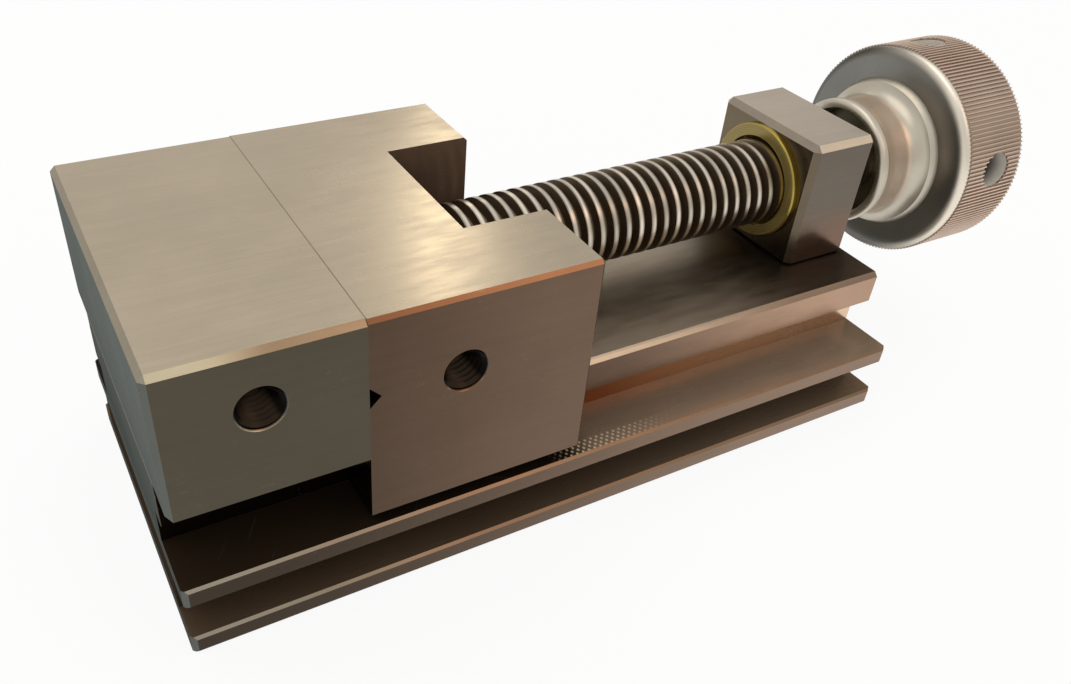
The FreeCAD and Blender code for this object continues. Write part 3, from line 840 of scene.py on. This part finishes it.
@dataclass(frozen=True)
class SatinKnob:
    """Satin light metal, blasted on the hub and knurled on the rim."""

    name: str = "satin_metal"
    # Painted light and shade: the waist and the shoulder take painted highlights, while the shoulder's far
    # side, the face beside the rim, the hollow round the shank and the knurl's valleys take painted shade;
    # the walls of the tommy-bar holes go from painted light at the mouth to painted shade deeper in.
    hub: str = "C9C1B1"
    waist: str = "E8D2BC"
    shoulder: str = "EDE4D4"
    shoulder_shade: str = "4C4A45"
    depth: str = "2A2722"
    face: str = "7D7C76"
    recess_shade: str = "5A5646"
    rim: str = "D2BEAD"
    valley_shade: str = "AE9988"
    wall: str = "F2EDE2"
    wall_oil: float = 0.7
    start: float = Layout.knob_start
    rim_start: float = Layout.knob_start + 14.6 * MM
    rear: float = Layout.knob_start + 33.1 * MM
    rim_radius: float = 25.0 * MM
    valley_radius: float = 24.6 * MM
    relief: float = 0.0015 * MM

    def hub_tone(self, nodes: Nodes, radius: Socket) -> Socket:
        """Tone of the hub, with a painted highlight on its waist and painted shade in the hollow round the
        shank and on the face beside the rim.

        Args:
            nodes: The material's tree.
            radius: The distance from the axis.

        Returns:
            The tone's socket.
        """
        x = nodes.spot[0]
        narrow = nodes.band(x, self.start + 2.0 * MM, self.start + 8.0 * MM, 1.0 * MM)
        inside = nodes.times(nodes.fall(radius, 12.45 * MM, 12.7 * MM),
                             nodes.step(x, self.start - 1.2 * MM, self.start + 1.5 * MM),
                             nodes.fall(x, self.start + 12.0 * MM, self.start + 13.0 * MM))
        hub = nodes.mix(inside, nodes.mix(narrow, tone(self.hub), tone(self.waist)), tone(self.recess_shade))
        # Painted shade on the face beside the rim, which looks forward.
        ahead = nodes.fall(nodes.facing[0], -0.97, -0.72)
        front = nodes.times(ahead, nodes.step(radius, 16.5 * MM, 17.9 * MM))
        return nodes.mix(front, hub, tone(self.face))

    def shoulder_light_and_shade(self, nodes: Nodes) -> Socket:
        """Painted light on the rounded shoulder: a painted highlight on the near side and painted shade on
        the far side.

        Args:
            nodes: The material's tree.

        Returns:
            The tone's socket.
        """
        _, y, z = nodes.spot
        above = nodes.times(nodes.sum("SUBTRACT", z, Layout.screw_height), 0.35)
        near = nodes.step(nodes.sum("SUBTRACT", above, y), -6.0 * MM, 22.0 * MM)
        return nodes.mix(near, tone(self.shoulder_shade), tone(self.shoulder))

    def build(self) -> bpy.types.Material:
        """Build the material.

        Returns:
            The finished material.
        """
        material, nodes, shader = new_material(self.name)
        rings = nodes.group(turned_rings())
        x, radius = nodes.spot[0], rings["Radius"]
        past_shoulder = nodes.step(x, self.rim_start + 3 * HAIR, self.rim_start + 6 * HAIR)
        outer = nodes.step(radius, self.valley_radius - 2 * HAIR, self.valley_radius - HAIR / 2)
        ridge = nodes.step(radius, self.valley_radius, self.rim_radius - HAIR / 2)
        coat = Coat(nodes, self.hub_tone(nodes, radius))
        # Painted shade in the knurl's valleys, lighter on the ridges.
        coat.lay(nodes.times(past_shoulder, outer), nodes.mix(ridge, tone(self.valley_shade), tone(self.rim)))
        # Painted light at the mouths of the tommy-bar holes, turning to painted shade deeper in.
        bored = nodes.times(nodes.band(x, self.rim_start + 23 * HAIR, self.rear - 4 * HAIR, 3 * HAIR),
                            nodes.band(radius, 12.2 * MM, self.valley_radius - 1.5 * HAIR, HAIR))
        wall = nodes.mix(nodes.step(radius, 18.5 * MM, 23.5 * MM), tone(self.depth), tone(self.wall))
        coat.lay(bored, wall)
        # Painted highlight and shade on the shoulder.
        shoulder = nodes.times(nodes.step(radius, 22.4 * MM, 24.1 * MM), nodes.rest(past_shoulder))
        coat.lay(shoulder, self.shoulder_light_and_shade(nodes))
        coat.shade(nodes.step(nodes.noise(nodes.place, 60.0, 3.0), 0.3, 0.7, 0.92, 1.06))
        grain = nodes.noise(nodes.place, 3200.0, 4.0, 0.6)
        nodes.fill(shader, {
            "Base Color": coat.colour,
            "Metallic": nodes.rest(nodes.times(bored, self.wall_oil)),
            "Roughness": nodes.step(grain, 0.3, 0.7, 0.3, 0.42),
            "Normal": nodes.bump(nodes.sum("ADD", grain, rings["Rings"]), 0.35, self.relief),
        })
        return material


def deselect_all() -> None:
    """Leave nothing selected and nothing active."""
    for other in bpy.context.selected_objects:
        other.select_set(False)
    bpy.context.view_layer.objects.active = None


def select_only(piece: bpy.types.Object) -> None:
    """Make one piece the only selected and active one.

    Args:
        piece: The piece to select.
    """
    deselect_all()
    piece.select_set(True)
    bpy.context.view_layer.objects.active = piece


def pick_faces(piece: bpy.types.Object, accept: Callable[[bmesh.types.BMFace], bool]) -> None:
    """Select the faces that pass a test, in edit mode.

    Args:
        piece: The piece in edit mode.
        accept: Says which faces to select.
    """
    bpy.ops.mesh.select_all(action="DESELECT")
    mesh = bmesh.from_edit_mesh(piece.data)
    for face in mesh.faces:
        face.select_set(accept(face))
    bmesh.update_edit_mesh(piece.data)


def close_and_turn_out() -> None:
    """Merge doubles, close open rings and point the faces outwards, in edit mode."""
    bpy.ops.mesh.select_all(action="SELECT")
    bpy.ops.mesh.remove_doubles(threshold=HAIR / 50)
    bpy.ops.mesh.select_all(action="DESELECT")
    bpy.ops.mesh.select_non_manifold(extend=False, use_wire=False, use_multi_face=False,
                                     use_non_contiguous=False, use_verts=False)
    bpy.ops.mesh.edge_face_add()
    bpy.ops.mesh.select_all(action="SELECT")
    bpy.ops.mesh.normals_make_consistent(inside=False)


def finish_piece(piece: bpy.types.Object, material: bpy.types.Material, body: Body) -> None:
    """Dress a finished piece and let it ride.

    Args:
        piece: The piece, with its place still in its object.
        material: Its finish.
        body: The body it rides on.
    """
    select_only(piece)
    bpy.ops.object.transform_apply(location=True, rotation=True, scale=True)
    piece.data.materials.clear()
    piece.data.materials.append(material)
    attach(piece, body.value)
    deselect_all()


def bend(start: Station, lean: Station, end: Station, count: int) -> list[Station]:
    """Stations along a smooth bend.

    Args:
        start: First station as (place along the axis, radius).
        lean: The point that the bend leans towards.
        end: Last station.
        count: How many stations follow the first.

    Returns:
        The stations after the first, up to the last.
    """
    stations = []
    for number in range(1, count + 1):
        share = number / count
        weights = ((1 - share) ** 2, 2 * share * (1 - share), share ** 2)
        along = sum(weight * point[0] for weight, point in zip(weights, (start, lean, end)))
        radius = sum(weight * point[1] for weight, point in zip(weights, (start, lean, end)))
        stations.append((along, radius))
    return stations


@dataclass
class KnurledKnob:
    """The knob, with its turned hub, straight knurl and tommy-bar holes, in millimetres from its start."""

    material: bpy.types.Material
    start: float = Layout.knob_start
    bore: float = 6.02
    recess_depth: float = 4.0
    recess_radius: float = 12.6
    inner_edge: float = 0.4
    lip_radius: float = 14.6
    lip_round: float = 1.3
    lip_reach: float = 1.4
    lip_length: float = 2.1
    lip_lean: float = 1.2
    waist_radius: float = 13.9
    waist_start: float = 4.6
    waist_end: float = 7.4
    waist_lean: float = 1.4
    waist_rise: float = 0.3
    flare_end: float = 11.9
    flare_radius: float = 16.9
    flare_back: float = 0.5
    flare_lean: float = 0.4
    flare_rise: float = 0.6
    face_place: float = 13.1
    face_inner_radius: float = 17.7
    face_radius: float = 22.6
    face_dish: float = 0.15
    face_slope: float = 0.2
    shoulder_lean: float = 0.6
    shoulder_end: float = 15.0
    valley_radius: float = 24.62
    rim_radius: float = 25.0
    length: float = 33.1
    rear_edge: float = 0.8
    rear_recess_radius: float = 8.5
    rear_recess_depth: float = 10.6
    flutes: int = 160
    ridge_inset: float = 0.09
    rim_low: float = 20.0
    hole_radius: float = 4.0
    hole_depth: float = 13.0
    hole_chamfer: float = 0.5
    hole_place: float = 24.3
    hole_count: int = 4
    hole_turn: float = 80.5
    hole_sides: int = 48
    key_width: float = 4.04
    key_length: float = 18.0
    key_top: float = 7.7
    key_overrun: float = 1.0
    smooth_angle: float = 24.0

    def stations(self) -> list[Station]:
        """Draw the knob's outline, from the bore round the lip, the waist, the face and the rim.

        Returns:
            The outline as (place along the axis, radius) in millimetres.
        """
        front = -self.lip_reach
        rear = self.length
        lip = (front + self.lip_length, self.lip_radius)
        waist = (self.waist_end, self.waist_radius)
        flare = (self.flare_end - self.flare_back, self.flare_radius)
        inner = (self.face_place, self.face_inner_radius)
        face = (self.face_place + self.face_slope, self.face_radius)
        outline = [(self.recess_depth, self.bore), (self.recess_depth, self.recess_radius)]
        outline += [(front + self.inner_edge, self.recess_radius)]
        outline += [(front, self.recess_radius + self.inner_edge)]
        outline += bend(outline[-1], (front, self.lip_radius), (front + self.lip_round, self.lip_radius), 6)
        lean = (lip[0] + self.lip_lean, self.waist_radius)
        outline += [lip] + bend(lip, lean, (self.waist_start, self.waist_radius), 7)
        lean = (self.flare_end - self.waist_lean, self.waist_radius + self.waist_rise)
        outline += [waist] + bend(waist, lean, flare, 9)
        lean = (self.flare_end + self.flare_lean, self.flare_radius + self.flare_rise)
        outline += bend(flare, lean, inner, 5)
        lean = (self.face_place - self.face_dish, (self.face_inner_radius + self.face_radius) / 2)
        outline += bend(inner, lean, face, 5)
        lean = (self.face_place + self.shoulder_lean, self.valley_radius)
        outline += bend(face, lean, (self.shoulder_end, self.valley_radius), 8)
        outline += [(rear - self.rear_edge, self.valley_radius)]
        outline += [(rear, self.valley_radius - self.rear_edge)]
        outline += [(rear, self.rear_recess_radius + self.inner_edge)]
        outline += [(rear - self.inner_edge, self.rear_recess_radius)]
        outline += [(rear - self.rear_recess_depth, self.rear_recess_radius)]
        outline += [(rear - self.rear_recess_depth, self.bore)]
        return outline

    def turn_body(self) -> bpy.types.Object:
        """Model the knob's round body ring by ring, from a circle.

        Returns:
            The closed body, with a smooth rim.
        """
        stations = self.stations()
        deselect_all()
        centre = Vector((self.start, 0.0, Layout.screw_height))
        first_along, first_radius = stations[0]
        bpy.ops.mesh.primitive_circle_add(
            vertices=2 * self.flutes, radius=first_radius * MM, rotation=(0.0, math.pi / 2, 0.0),
            location=centre + Vector((first_along * MM, 0.0, 0.0)))
        knob = bpy.context.object
        knob.name = "knurled_knob"
        bpy.ops.object.transform_apply(location=True, rotation=True, scale=True)
        bpy.ops.object.mode_set(mode="EDIT")
        bpy.ops.mesh.select_all(action="SELECT")
        for (along, radius), (next_along, next_radius) in zip(stations, stations[1:] + stations[:1]):
            bpy.ops.mesh.extrude_region_move(
                TRANSFORM_OT_translate={"value": ((next_along - along) * MM, 0.0, 0.0)})
            grown = next_radius / radius
            bpy.ops.transform.resize(value=(1.0, grown, grown), center_override=centre)
        bpy.ops.mesh.select_all(action="SELECT")
        bpy.ops.mesh.remove_doubles(threshold=HAIR / 50)
        bpy.ops.mesh.normals_make_consistent(inside=False)
        return knob

    def cut_knurl(self, knob: bpy.types.Object) -> None:
        """Raise a ridge on every second strip of the rim, in edit mode.

        Args:
            knob: The knob in edit mode.
        """
        rim_middle = self.start + (self.shoulder_end + self.length - self.rear_edge) / 2 * MM
        pitch = math.tau / self.flutes

        def is_ridge(face: bmesh.types.BMFace) -> bool:
            """Tell whether a face is one of the strips to raise.

            Args:
                face: A face of the knob.

            Returns:
                True for every second long strip of the rim.
            """
            middle = face.calc_center_median()
            above = middle.z - Layout.screw_height
            if abs(middle.x - rim_middle) > 1.0 * MM or Vector((middle.y, above)).length < self.rim_low * MM:
                return False
            return (math.atan2(above, middle.y) / pitch) % 1.0 < 0.5

        pick_faces(knob, is_ridge)
        rise = (self.rim_radius - self.valley_radius) * MM
        bpy.ops.mesh.inset(thickness=self.ridge_inset * MM, depth=rise, use_individual=True)

    def hole_cutter(self, outward: Vector) -> bpy.types.Object:
        """Model the tool that cuts one tommy-bar hole with its chamfer.

        Args:
            outward: The hole's direction, away from the axis.

        Returns:
            The cutter.
        """
        deselect_all()
        centre = Vector((self.start + self.hole_place * MM, 0.0, Layout.screw_height))
        middle = self.rim_radius - self.hole_depth / 2
        bpy.ops.mesh.primitive_cylinder_add(
            vertices=self.hole_sides, radius=self.hole_radius * MM, depth=self.hole_depth * MM,
            location=centre + outward * middle * MM, rotation=outward.to_track_quat("Z", "Y").to_euler())
        cutter = bpy.context.object
        bpy.ops.object.mode_set(mode="EDIT")
        pick_faces(cutter, lambda face: face.normal.z > 0.9)
        bpy.ops.mesh.inset(thickness=0.0, depth=0.0)
        bpy.ops.transform.translate(value=outward * self.hole_chamfer * MM)
        grown = 1 + 2 * self.hole_chamfer / self.hole_radius
        mouth = cutter.location + outward * (self.hole_depth / 2 + self.hole_chamfer) * MM
        bpy.ops.transform.resize(value=(grown, grown, grown), center_override=mouth)
        pick_faces(cutter, lambda face: False)
        bpy.ops.object.mode_set(mode="OBJECT")
        return cutter

    def slot_cutter(self) -> bpy.types.Object:
        """Model the tool that cuts the key's slot.

        Returns:
            The cutter.
        """
        deselect_all()
        along = self.start + (self.recess_depth - self.key_overrun + self.key_length / 2) * MM
        place = Vector((along, 0.0, Layout.screw_height + self.key_top / 2 * MM))
        scale = Vector((self.key_length, self.key_width, self.key_top)) * MM
        bpy.ops.mesh.primitive_cube_add(size=1.0, scale=scale, location=place)
        return bpy.context.object

    def cutters(self) -> bpy.types.Object:
        """Join the tools that cut the tommy-bar holes and the key's slot.

        Returns:
            One object that holds all the cutters.
        """
        cutters = []
        for number in range(self.hole_count):
            angle = math.radians(self.hole_turn + 360 * number / self.hole_count)
            cutters.append(self.hole_cutter(Vector((0.0, math.cos(angle), math.sin(angle)))))
        cutters.append(self.slot_cutter())
        deselect_all()
        for cutter in cutters:
            cutter.select_set(True)
        bpy.context.view_layer.objects.active = cutters[0]
        bpy.ops.object.join()
        return bpy.context.object

    def build(self) -> bpy.types.Object:
        """Build the knob in place of its plain solid.

        Returns:
            The finished knob.
        """
        knob = self.turn_body()
        self.cut_knurl(knob)
        bpy.ops.object.mode_set(mode="OBJECT")
        cutter = self.cutters()
        select_only(knob)
        cut = knob.modifiers.new("holes", "BOOLEAN")
        cut.operation = "DIFFERENCE"
        cut.solver = "EXACT"
        cut.object = cutter
        bpy.ops.object.modifier_apply(modifier=cut.name)
        bpy.data.objects.remove(cutter)
        bpy.ops.object.shade_smooth_by_angle(angle=math.radians(self.smooth_angle))
        finish_piece(knob, self.material, Body.SCREW)
        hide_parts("knob")
        return knob


@dataclass
class SideThread:
    """The thread inside one tapped hole of a jaw's side."""

    name: str
    material: bpy.types.Material
    body: Body
    slot: str
    place: float
    height: float
    side: Side
    radius: float = Layout.hole_radius
    overlap: float = HAIR / 5
    crest: float = 3.36 * MM
    pitch: float = 1.25 * MM
    half_share: float = 0.46
    first_turn: float = 0.55 * MM
    turns: int = 8
    steps: int = 40
    smooth_angle: float = 30.0

    def build(self) -> bpy.types.Object:
        """Wind a three-cornered ridge into the hole.

        Returns:
            The finished thread.
        """
        deselect_all()
        bpy.ops.mesh.primitive_circle_add(vertices=3, radius=1.0, fill_type="NOTHING")
        ridge = bpy.context.object
        ridge.name = self.name
        half = self.pitch * self.half_share
        root = self.radius + self.overlap
        bpy.ops.object.mode_set(mode="EDIT")
        mesh = bmesh.from_edit_mesh(ridge.data)
        corners = ((root, -half), (root, half), (self.crest, 0.0))
        for vertex, (radius, along) in zip(mesh.verts, corners):
            vertex.co = Vector((radius, 0.0, along))
        bmesh.update_edit_mesh(ridge.data)
        bpy.ops.object.mode_set(mode="OBJECT")
        wind = ridge.modifiers.new("wind", "SCREW")
        wind.axis = "Z"
        wind.angle = math.tau
        wind.screw_offset = self.pitch
        wind.iterations = self.turns
        wind.steps = self.steps
        wind.render_steps = self.steps
        select_only(ridge)
        bpy.ops.object.modifier_apply(modifier=wind.name)
        bpy.ops.object.mode_set(mode="EDIT")
        close_and_turn_out()
        bpy.ops.object.mode_set(mode="OBJECT")
        bpy.ops.object.shade_smooth_by_angle(angle=math.radians(self.smooth_angle))
        inward = Vector((0.0, -self.side.value, 0.0))
        mouth = Vector((self.place, self.side.value * Layout.half_width, self.height))
        turned = inward.to_track_quat("Z", "X").to_matrix().to_4x4()
        ridge.matrix_world = Matrix.Translation(mouth + inward * self.first_turn) @ turned
        finish_piece(ridge, self.material, self.body)
        return ridge


@dataclass
class Dressing:
    """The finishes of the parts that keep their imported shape."""

    finishes: dict[str, bpy.types.Material]

    def dress(self, finish: str, *nodes: str) -> None:
        """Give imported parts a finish.

        Args:
            finish: Name of the finish.
            *nodes: Names of the parts.
        """
        for name in nodes:
            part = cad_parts[name]
            part.data.materials.clear()
            part.data.materials.append(self.finishes[finish])
            log.info("dressed %s in %s", name, finish)


@dataclass
class PhotoCamera:
    """Camera at the photograph's place, in pixels of the photograph and metres of the vise."""

    eye: Point = (-0.045907, -0.146153, 0.147432)
    right: Point = (0.87872423, -0.47450698, 0.05183482)
    down: Point = (-0.25518847, -0.5587741, -0.78908197)
    forward: Point = (0.40338886, 0.6801578, -0.61209705)
    width: float = 1071.0
    height: float = 684.0
    focal: float = 977.9
    centre: tuple[float, float] = (480.4, 361.6)
    sensor: float = 36.0
    nearest: float = 0.01
    farthest: float = 20.0

    def build(self) -> bpy.types.Object:
        """Make the camera and use it.

        Returns:
            The camera.
        """
        data = bpy.data.cameras.new("photo_camera")
        data.sensor_width = self.sensor
        data.lens = self.sensor * self.focal / self.width
        data.shift_x = (self.width / 2 - self.centre[0]) / self.width
        data.shift_y = (self.centre[1] - self.height / 2) / self.width
        data.clip_start = self.nearest
        data.clip_end = self.farthest
        camera = bpy.data.objects.new("photo_camera", data)
        turn = Matrix((self.right, -Vector(self.down), -Vector(self.forward))).transposed()
        camera.matrix_world = Matrix.Translation(self.eye) @ turn.to_4x4()
        bpy.context.scene.collection.objects.link(camera)
        bpy.context.scene.camera = camera
        return camera


@dataclass
class Studio:
    """Pale floor, soft world and soft lamps."""

    floor_size: float = 6.0
    floor_gap: float = HAIR / 2
    floor_tones: Pair = ("F4F4F2", "FAFAF9")
    floor_grain: float = 900.0
    floor_roughness: float = 0.9
    floor_sheen: float = 0.1
    floor_share: float = 0.9
    floor_glow: float = 1.0
    world_tones: Pair = ("E9E4DC", "F5F6F8")
    world_level: float = 0.86
    aim: Point = (0.05, 0.0, 0.04)

    def floor(self) -> bpy.types.Object:
        """Lay the floor. It shows near white to the camera and in the metal, and keeps the shadow.

        Returns:
            The floor.
        """
        deselect_all()
        bpy.ops.mesh.primitive_plane_add(size=self.floor_size, location=(0.0, 0.0, -self.floor_gap))
        floor = bpy.context.object
        floor.name = "floor"
        material, nodes, shader = new_material("floor_paper")
        low, high = (tone(code) for code in self.floor_tones)
        nodes.fill(shader, {
            "Base Color": nodes.mix(nodes.noise(nodes.place, self.floor_grain), low, high),
            "Roughness": self.floor_roughness,
            "Specular IOR Level": self.floor_sheen,
        })
        path = nodes.add("ShaderNodeLightPath", {}).outputs
        mirrored = nodes.strongest(path["Is Glossy Ray"], path["Is Transmission Ray"])
        seen = nodes.strongest(path["Is Camera Ray"], mirrored)
        glow = nodes.add("ShaderNodeEmission", {"Strength": self.floor_glow})
        layers = {0: nodes.times(seen, self.floor_share), 1: shader.outputs[0], 2: glow.outputs[0]}
        both = nodes.add("ShaderNodeMixShader", layers)
        out = next(node for node in material.node_tree.nodes if node.type == "OUTPUT_MATERIAL")
        nodes.fill(out, {"Surface": both.outputs[0]})
        floor.data.materials.append(material)
        deselect_all()
        return floor

    def world(self) -> None:
        """Fill the room with soft pale light."""
        world = bpy.data.worlds.new("studio")
        bpy.context.scene.world = world
        world.use_nodes = True
        nodes = Nodes(world.node_tree)
        up = nodes.split(nodes.add("ShaderNodeTexCoord", {}).outputs["Generated"])[2]
        low, high = (tone(code) for code in self.world_tones)
        colour = nodes.mix(nodes.step(up, -0.1, 0.9), low, high)
        nodes.fill(world.node_tree.nodes["Background"], {"Color": colour, "Strength": self.world_level})

    def lamp(self, name: str, direction: Point, distance: float, size: tuple[float, float], power: float,
             colour: str) -> bpy.types.Object:
        """Hang one soft lamp that faces the vise.

        Args:
            name: The lamp's name.
            direction: From the vise's middle towards the lamp.
            distance: How far away it hangs.
            size: Its width and height.
            power: Its power in watts.
            colour: Its colour.

        Returns:
            The lamp.
        """
        data = bpy.data.lights.new(name, "AREA")
        data.shape = "RECTANGLE"
        data.size, data.size_y = size
        data.energy = power
        data.color = tone(colour)[:3]
        lamp = bpy.data.objects.new(name, data)
        way = Vector(direction).normalized()
        lamp.location = Vector(self.aim) + way * distance
        lamp.rotation_mode = "QUATERNION"
        lamp.rotation_quaternion = way.to_track_quat("Z", "Y")
        bpy.context.scene.collection.objects.link(lamp)
        return lamp

    def build(self) -> None:
        """Set up the floor, the world and the lamps."""
        self.floor()
        self.world()
        self.lamp("overhead_softbox", direction=(-0.15, 0.1, 1.0), distance=1.3, size=(1.4, 1.0),
                  power=4.0, colour="FFF6EA")
        self.lamp("window_strip", direction=(0.388, 0.772, 0.503), distance=1.1, size=(0.08, 0.3),
                  power=0.16, colour="FFF4DE")
        self.lamp("warm_softbox", direction=(0.40, -0.612, 0.68), distance=1.0, size=(0.5, 0.4),
                  power=0.6, colour="FFD2B4")
        self.lamp("cool_window", direction=(-1.0, -0.25, 0.35), distance=1.2, size=(0.6, 0.5),
                  power=0.25, colour="CFE4F2")


def build_finishes() -> dict[str, bpy.types.Material]:
    """Build every finish of the vise.

    Returns:
        The materials by the finish's short name.
    """
    # Painted light: the top, side, end and rear tones stand for the light and reflections on faces that look
    # each way, and the bevel tones are painted highlights on the edges.
    bed = BedSteel("bed_steel", top="C2B39B", side="534D41", end="646A67", rear="8B8478", bevel="98846A")
    jaw = JawSteel("jaw_steel", top="C2B39B", side="6F5A4A", end="6E665A", rear="7D7264", bevel="966C4E")
    block = BlockSteel(
        "block_steel", top="BAAC9B", side="6B6257", end="6E6250", rear="7D7468", bevel="DECAB0")
    # Painted shade on the threads in the tapped holes, lighter on the flanks that look up.
    dark = "120E0B"
    hole = GroundSteel(
        "shaded_hole_steel", top="43392E", side=dark, end=dark, rear=dark, bevel="332A21", roughness=0.35)
    return {
        "bed": bed.build(),
        "jaw": jaw.build(),
        "block": block.build(),
        "hole": hole.build(),
        "screw": ScrewSteel().build(),
        # The brass nut's front takes a painted tone for the light on the face that looks forward.
        "brass": TurnedMetal("brass", light="B8A353", dark="9A8640", roughness=0.26, front="93824A").build(),
        "black": TurnedMetal("black_screws", light="26241F", dark="1A1816", roughness=0.4).build(),
        "pin": TurnedMetal("pin_steel", light="A9A6A0", dark="8F8C86", roughness=0.2).build(),
        "knob": SatinKnob().build(),
    }


def main() -> None:
    """Build every piece in order and report each."""
    logging.basicConfig(level=logging.INFO, format="%(message)s")
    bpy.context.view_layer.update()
    bpy.context.scene.view_settings.view_transform = "Standard"
    PhotoCamera().build()
    Studio().build()
    log.info("camera and studio stand")
    finishes = build_finishes()
    dressing = Dressing(finishes)
    dressing.dress("bed", "vise_body")
    dressing.dress("jaw", "moving_jaw")
    dressing.dress("block", "screw_block")
    dressing.dress("screw", "lead_screw")
    dressing.dress("brass", "brass_nut")
    for corner in ("front_near", "front_far", "rear_near", "rear_far"):
        dressing.dress("black", "block_screw_" + corner)
    dressing.dress("black", "nut_lock_screw", "knob_end_screw")
    dressing.dress("black", "nose_lock_screw_near", "nose_lock_screw_far")
    dressing.dress("pin", "block_dowel_near", "block_dowel_far", "thrust_pad", "knob_key")
    dressing.dress("pin", "knob_washer", "knob_spring_washer")
    KnurledKnob(finishes["knob"]).build()
    log.info("turned the knob")
    for side in Side:
        name = side.name.lower()
        SideThread("fixed_jaw_thread_" + name, finishes["hole"], Body.BED, "ground_steel",
                   -Layout.side_hole_setback, Layout.fixed_hole_height, side).build()
        SideThread("moving_jaw_thread_" + name, finishes["hole"], Body.SLIDE, "jaw_steel",
                   Layout.side_hole_setback, Layout.screw_height, side).build()
        log.info("tapped the %s side", name)


if __name__ == "__main__":
    main()
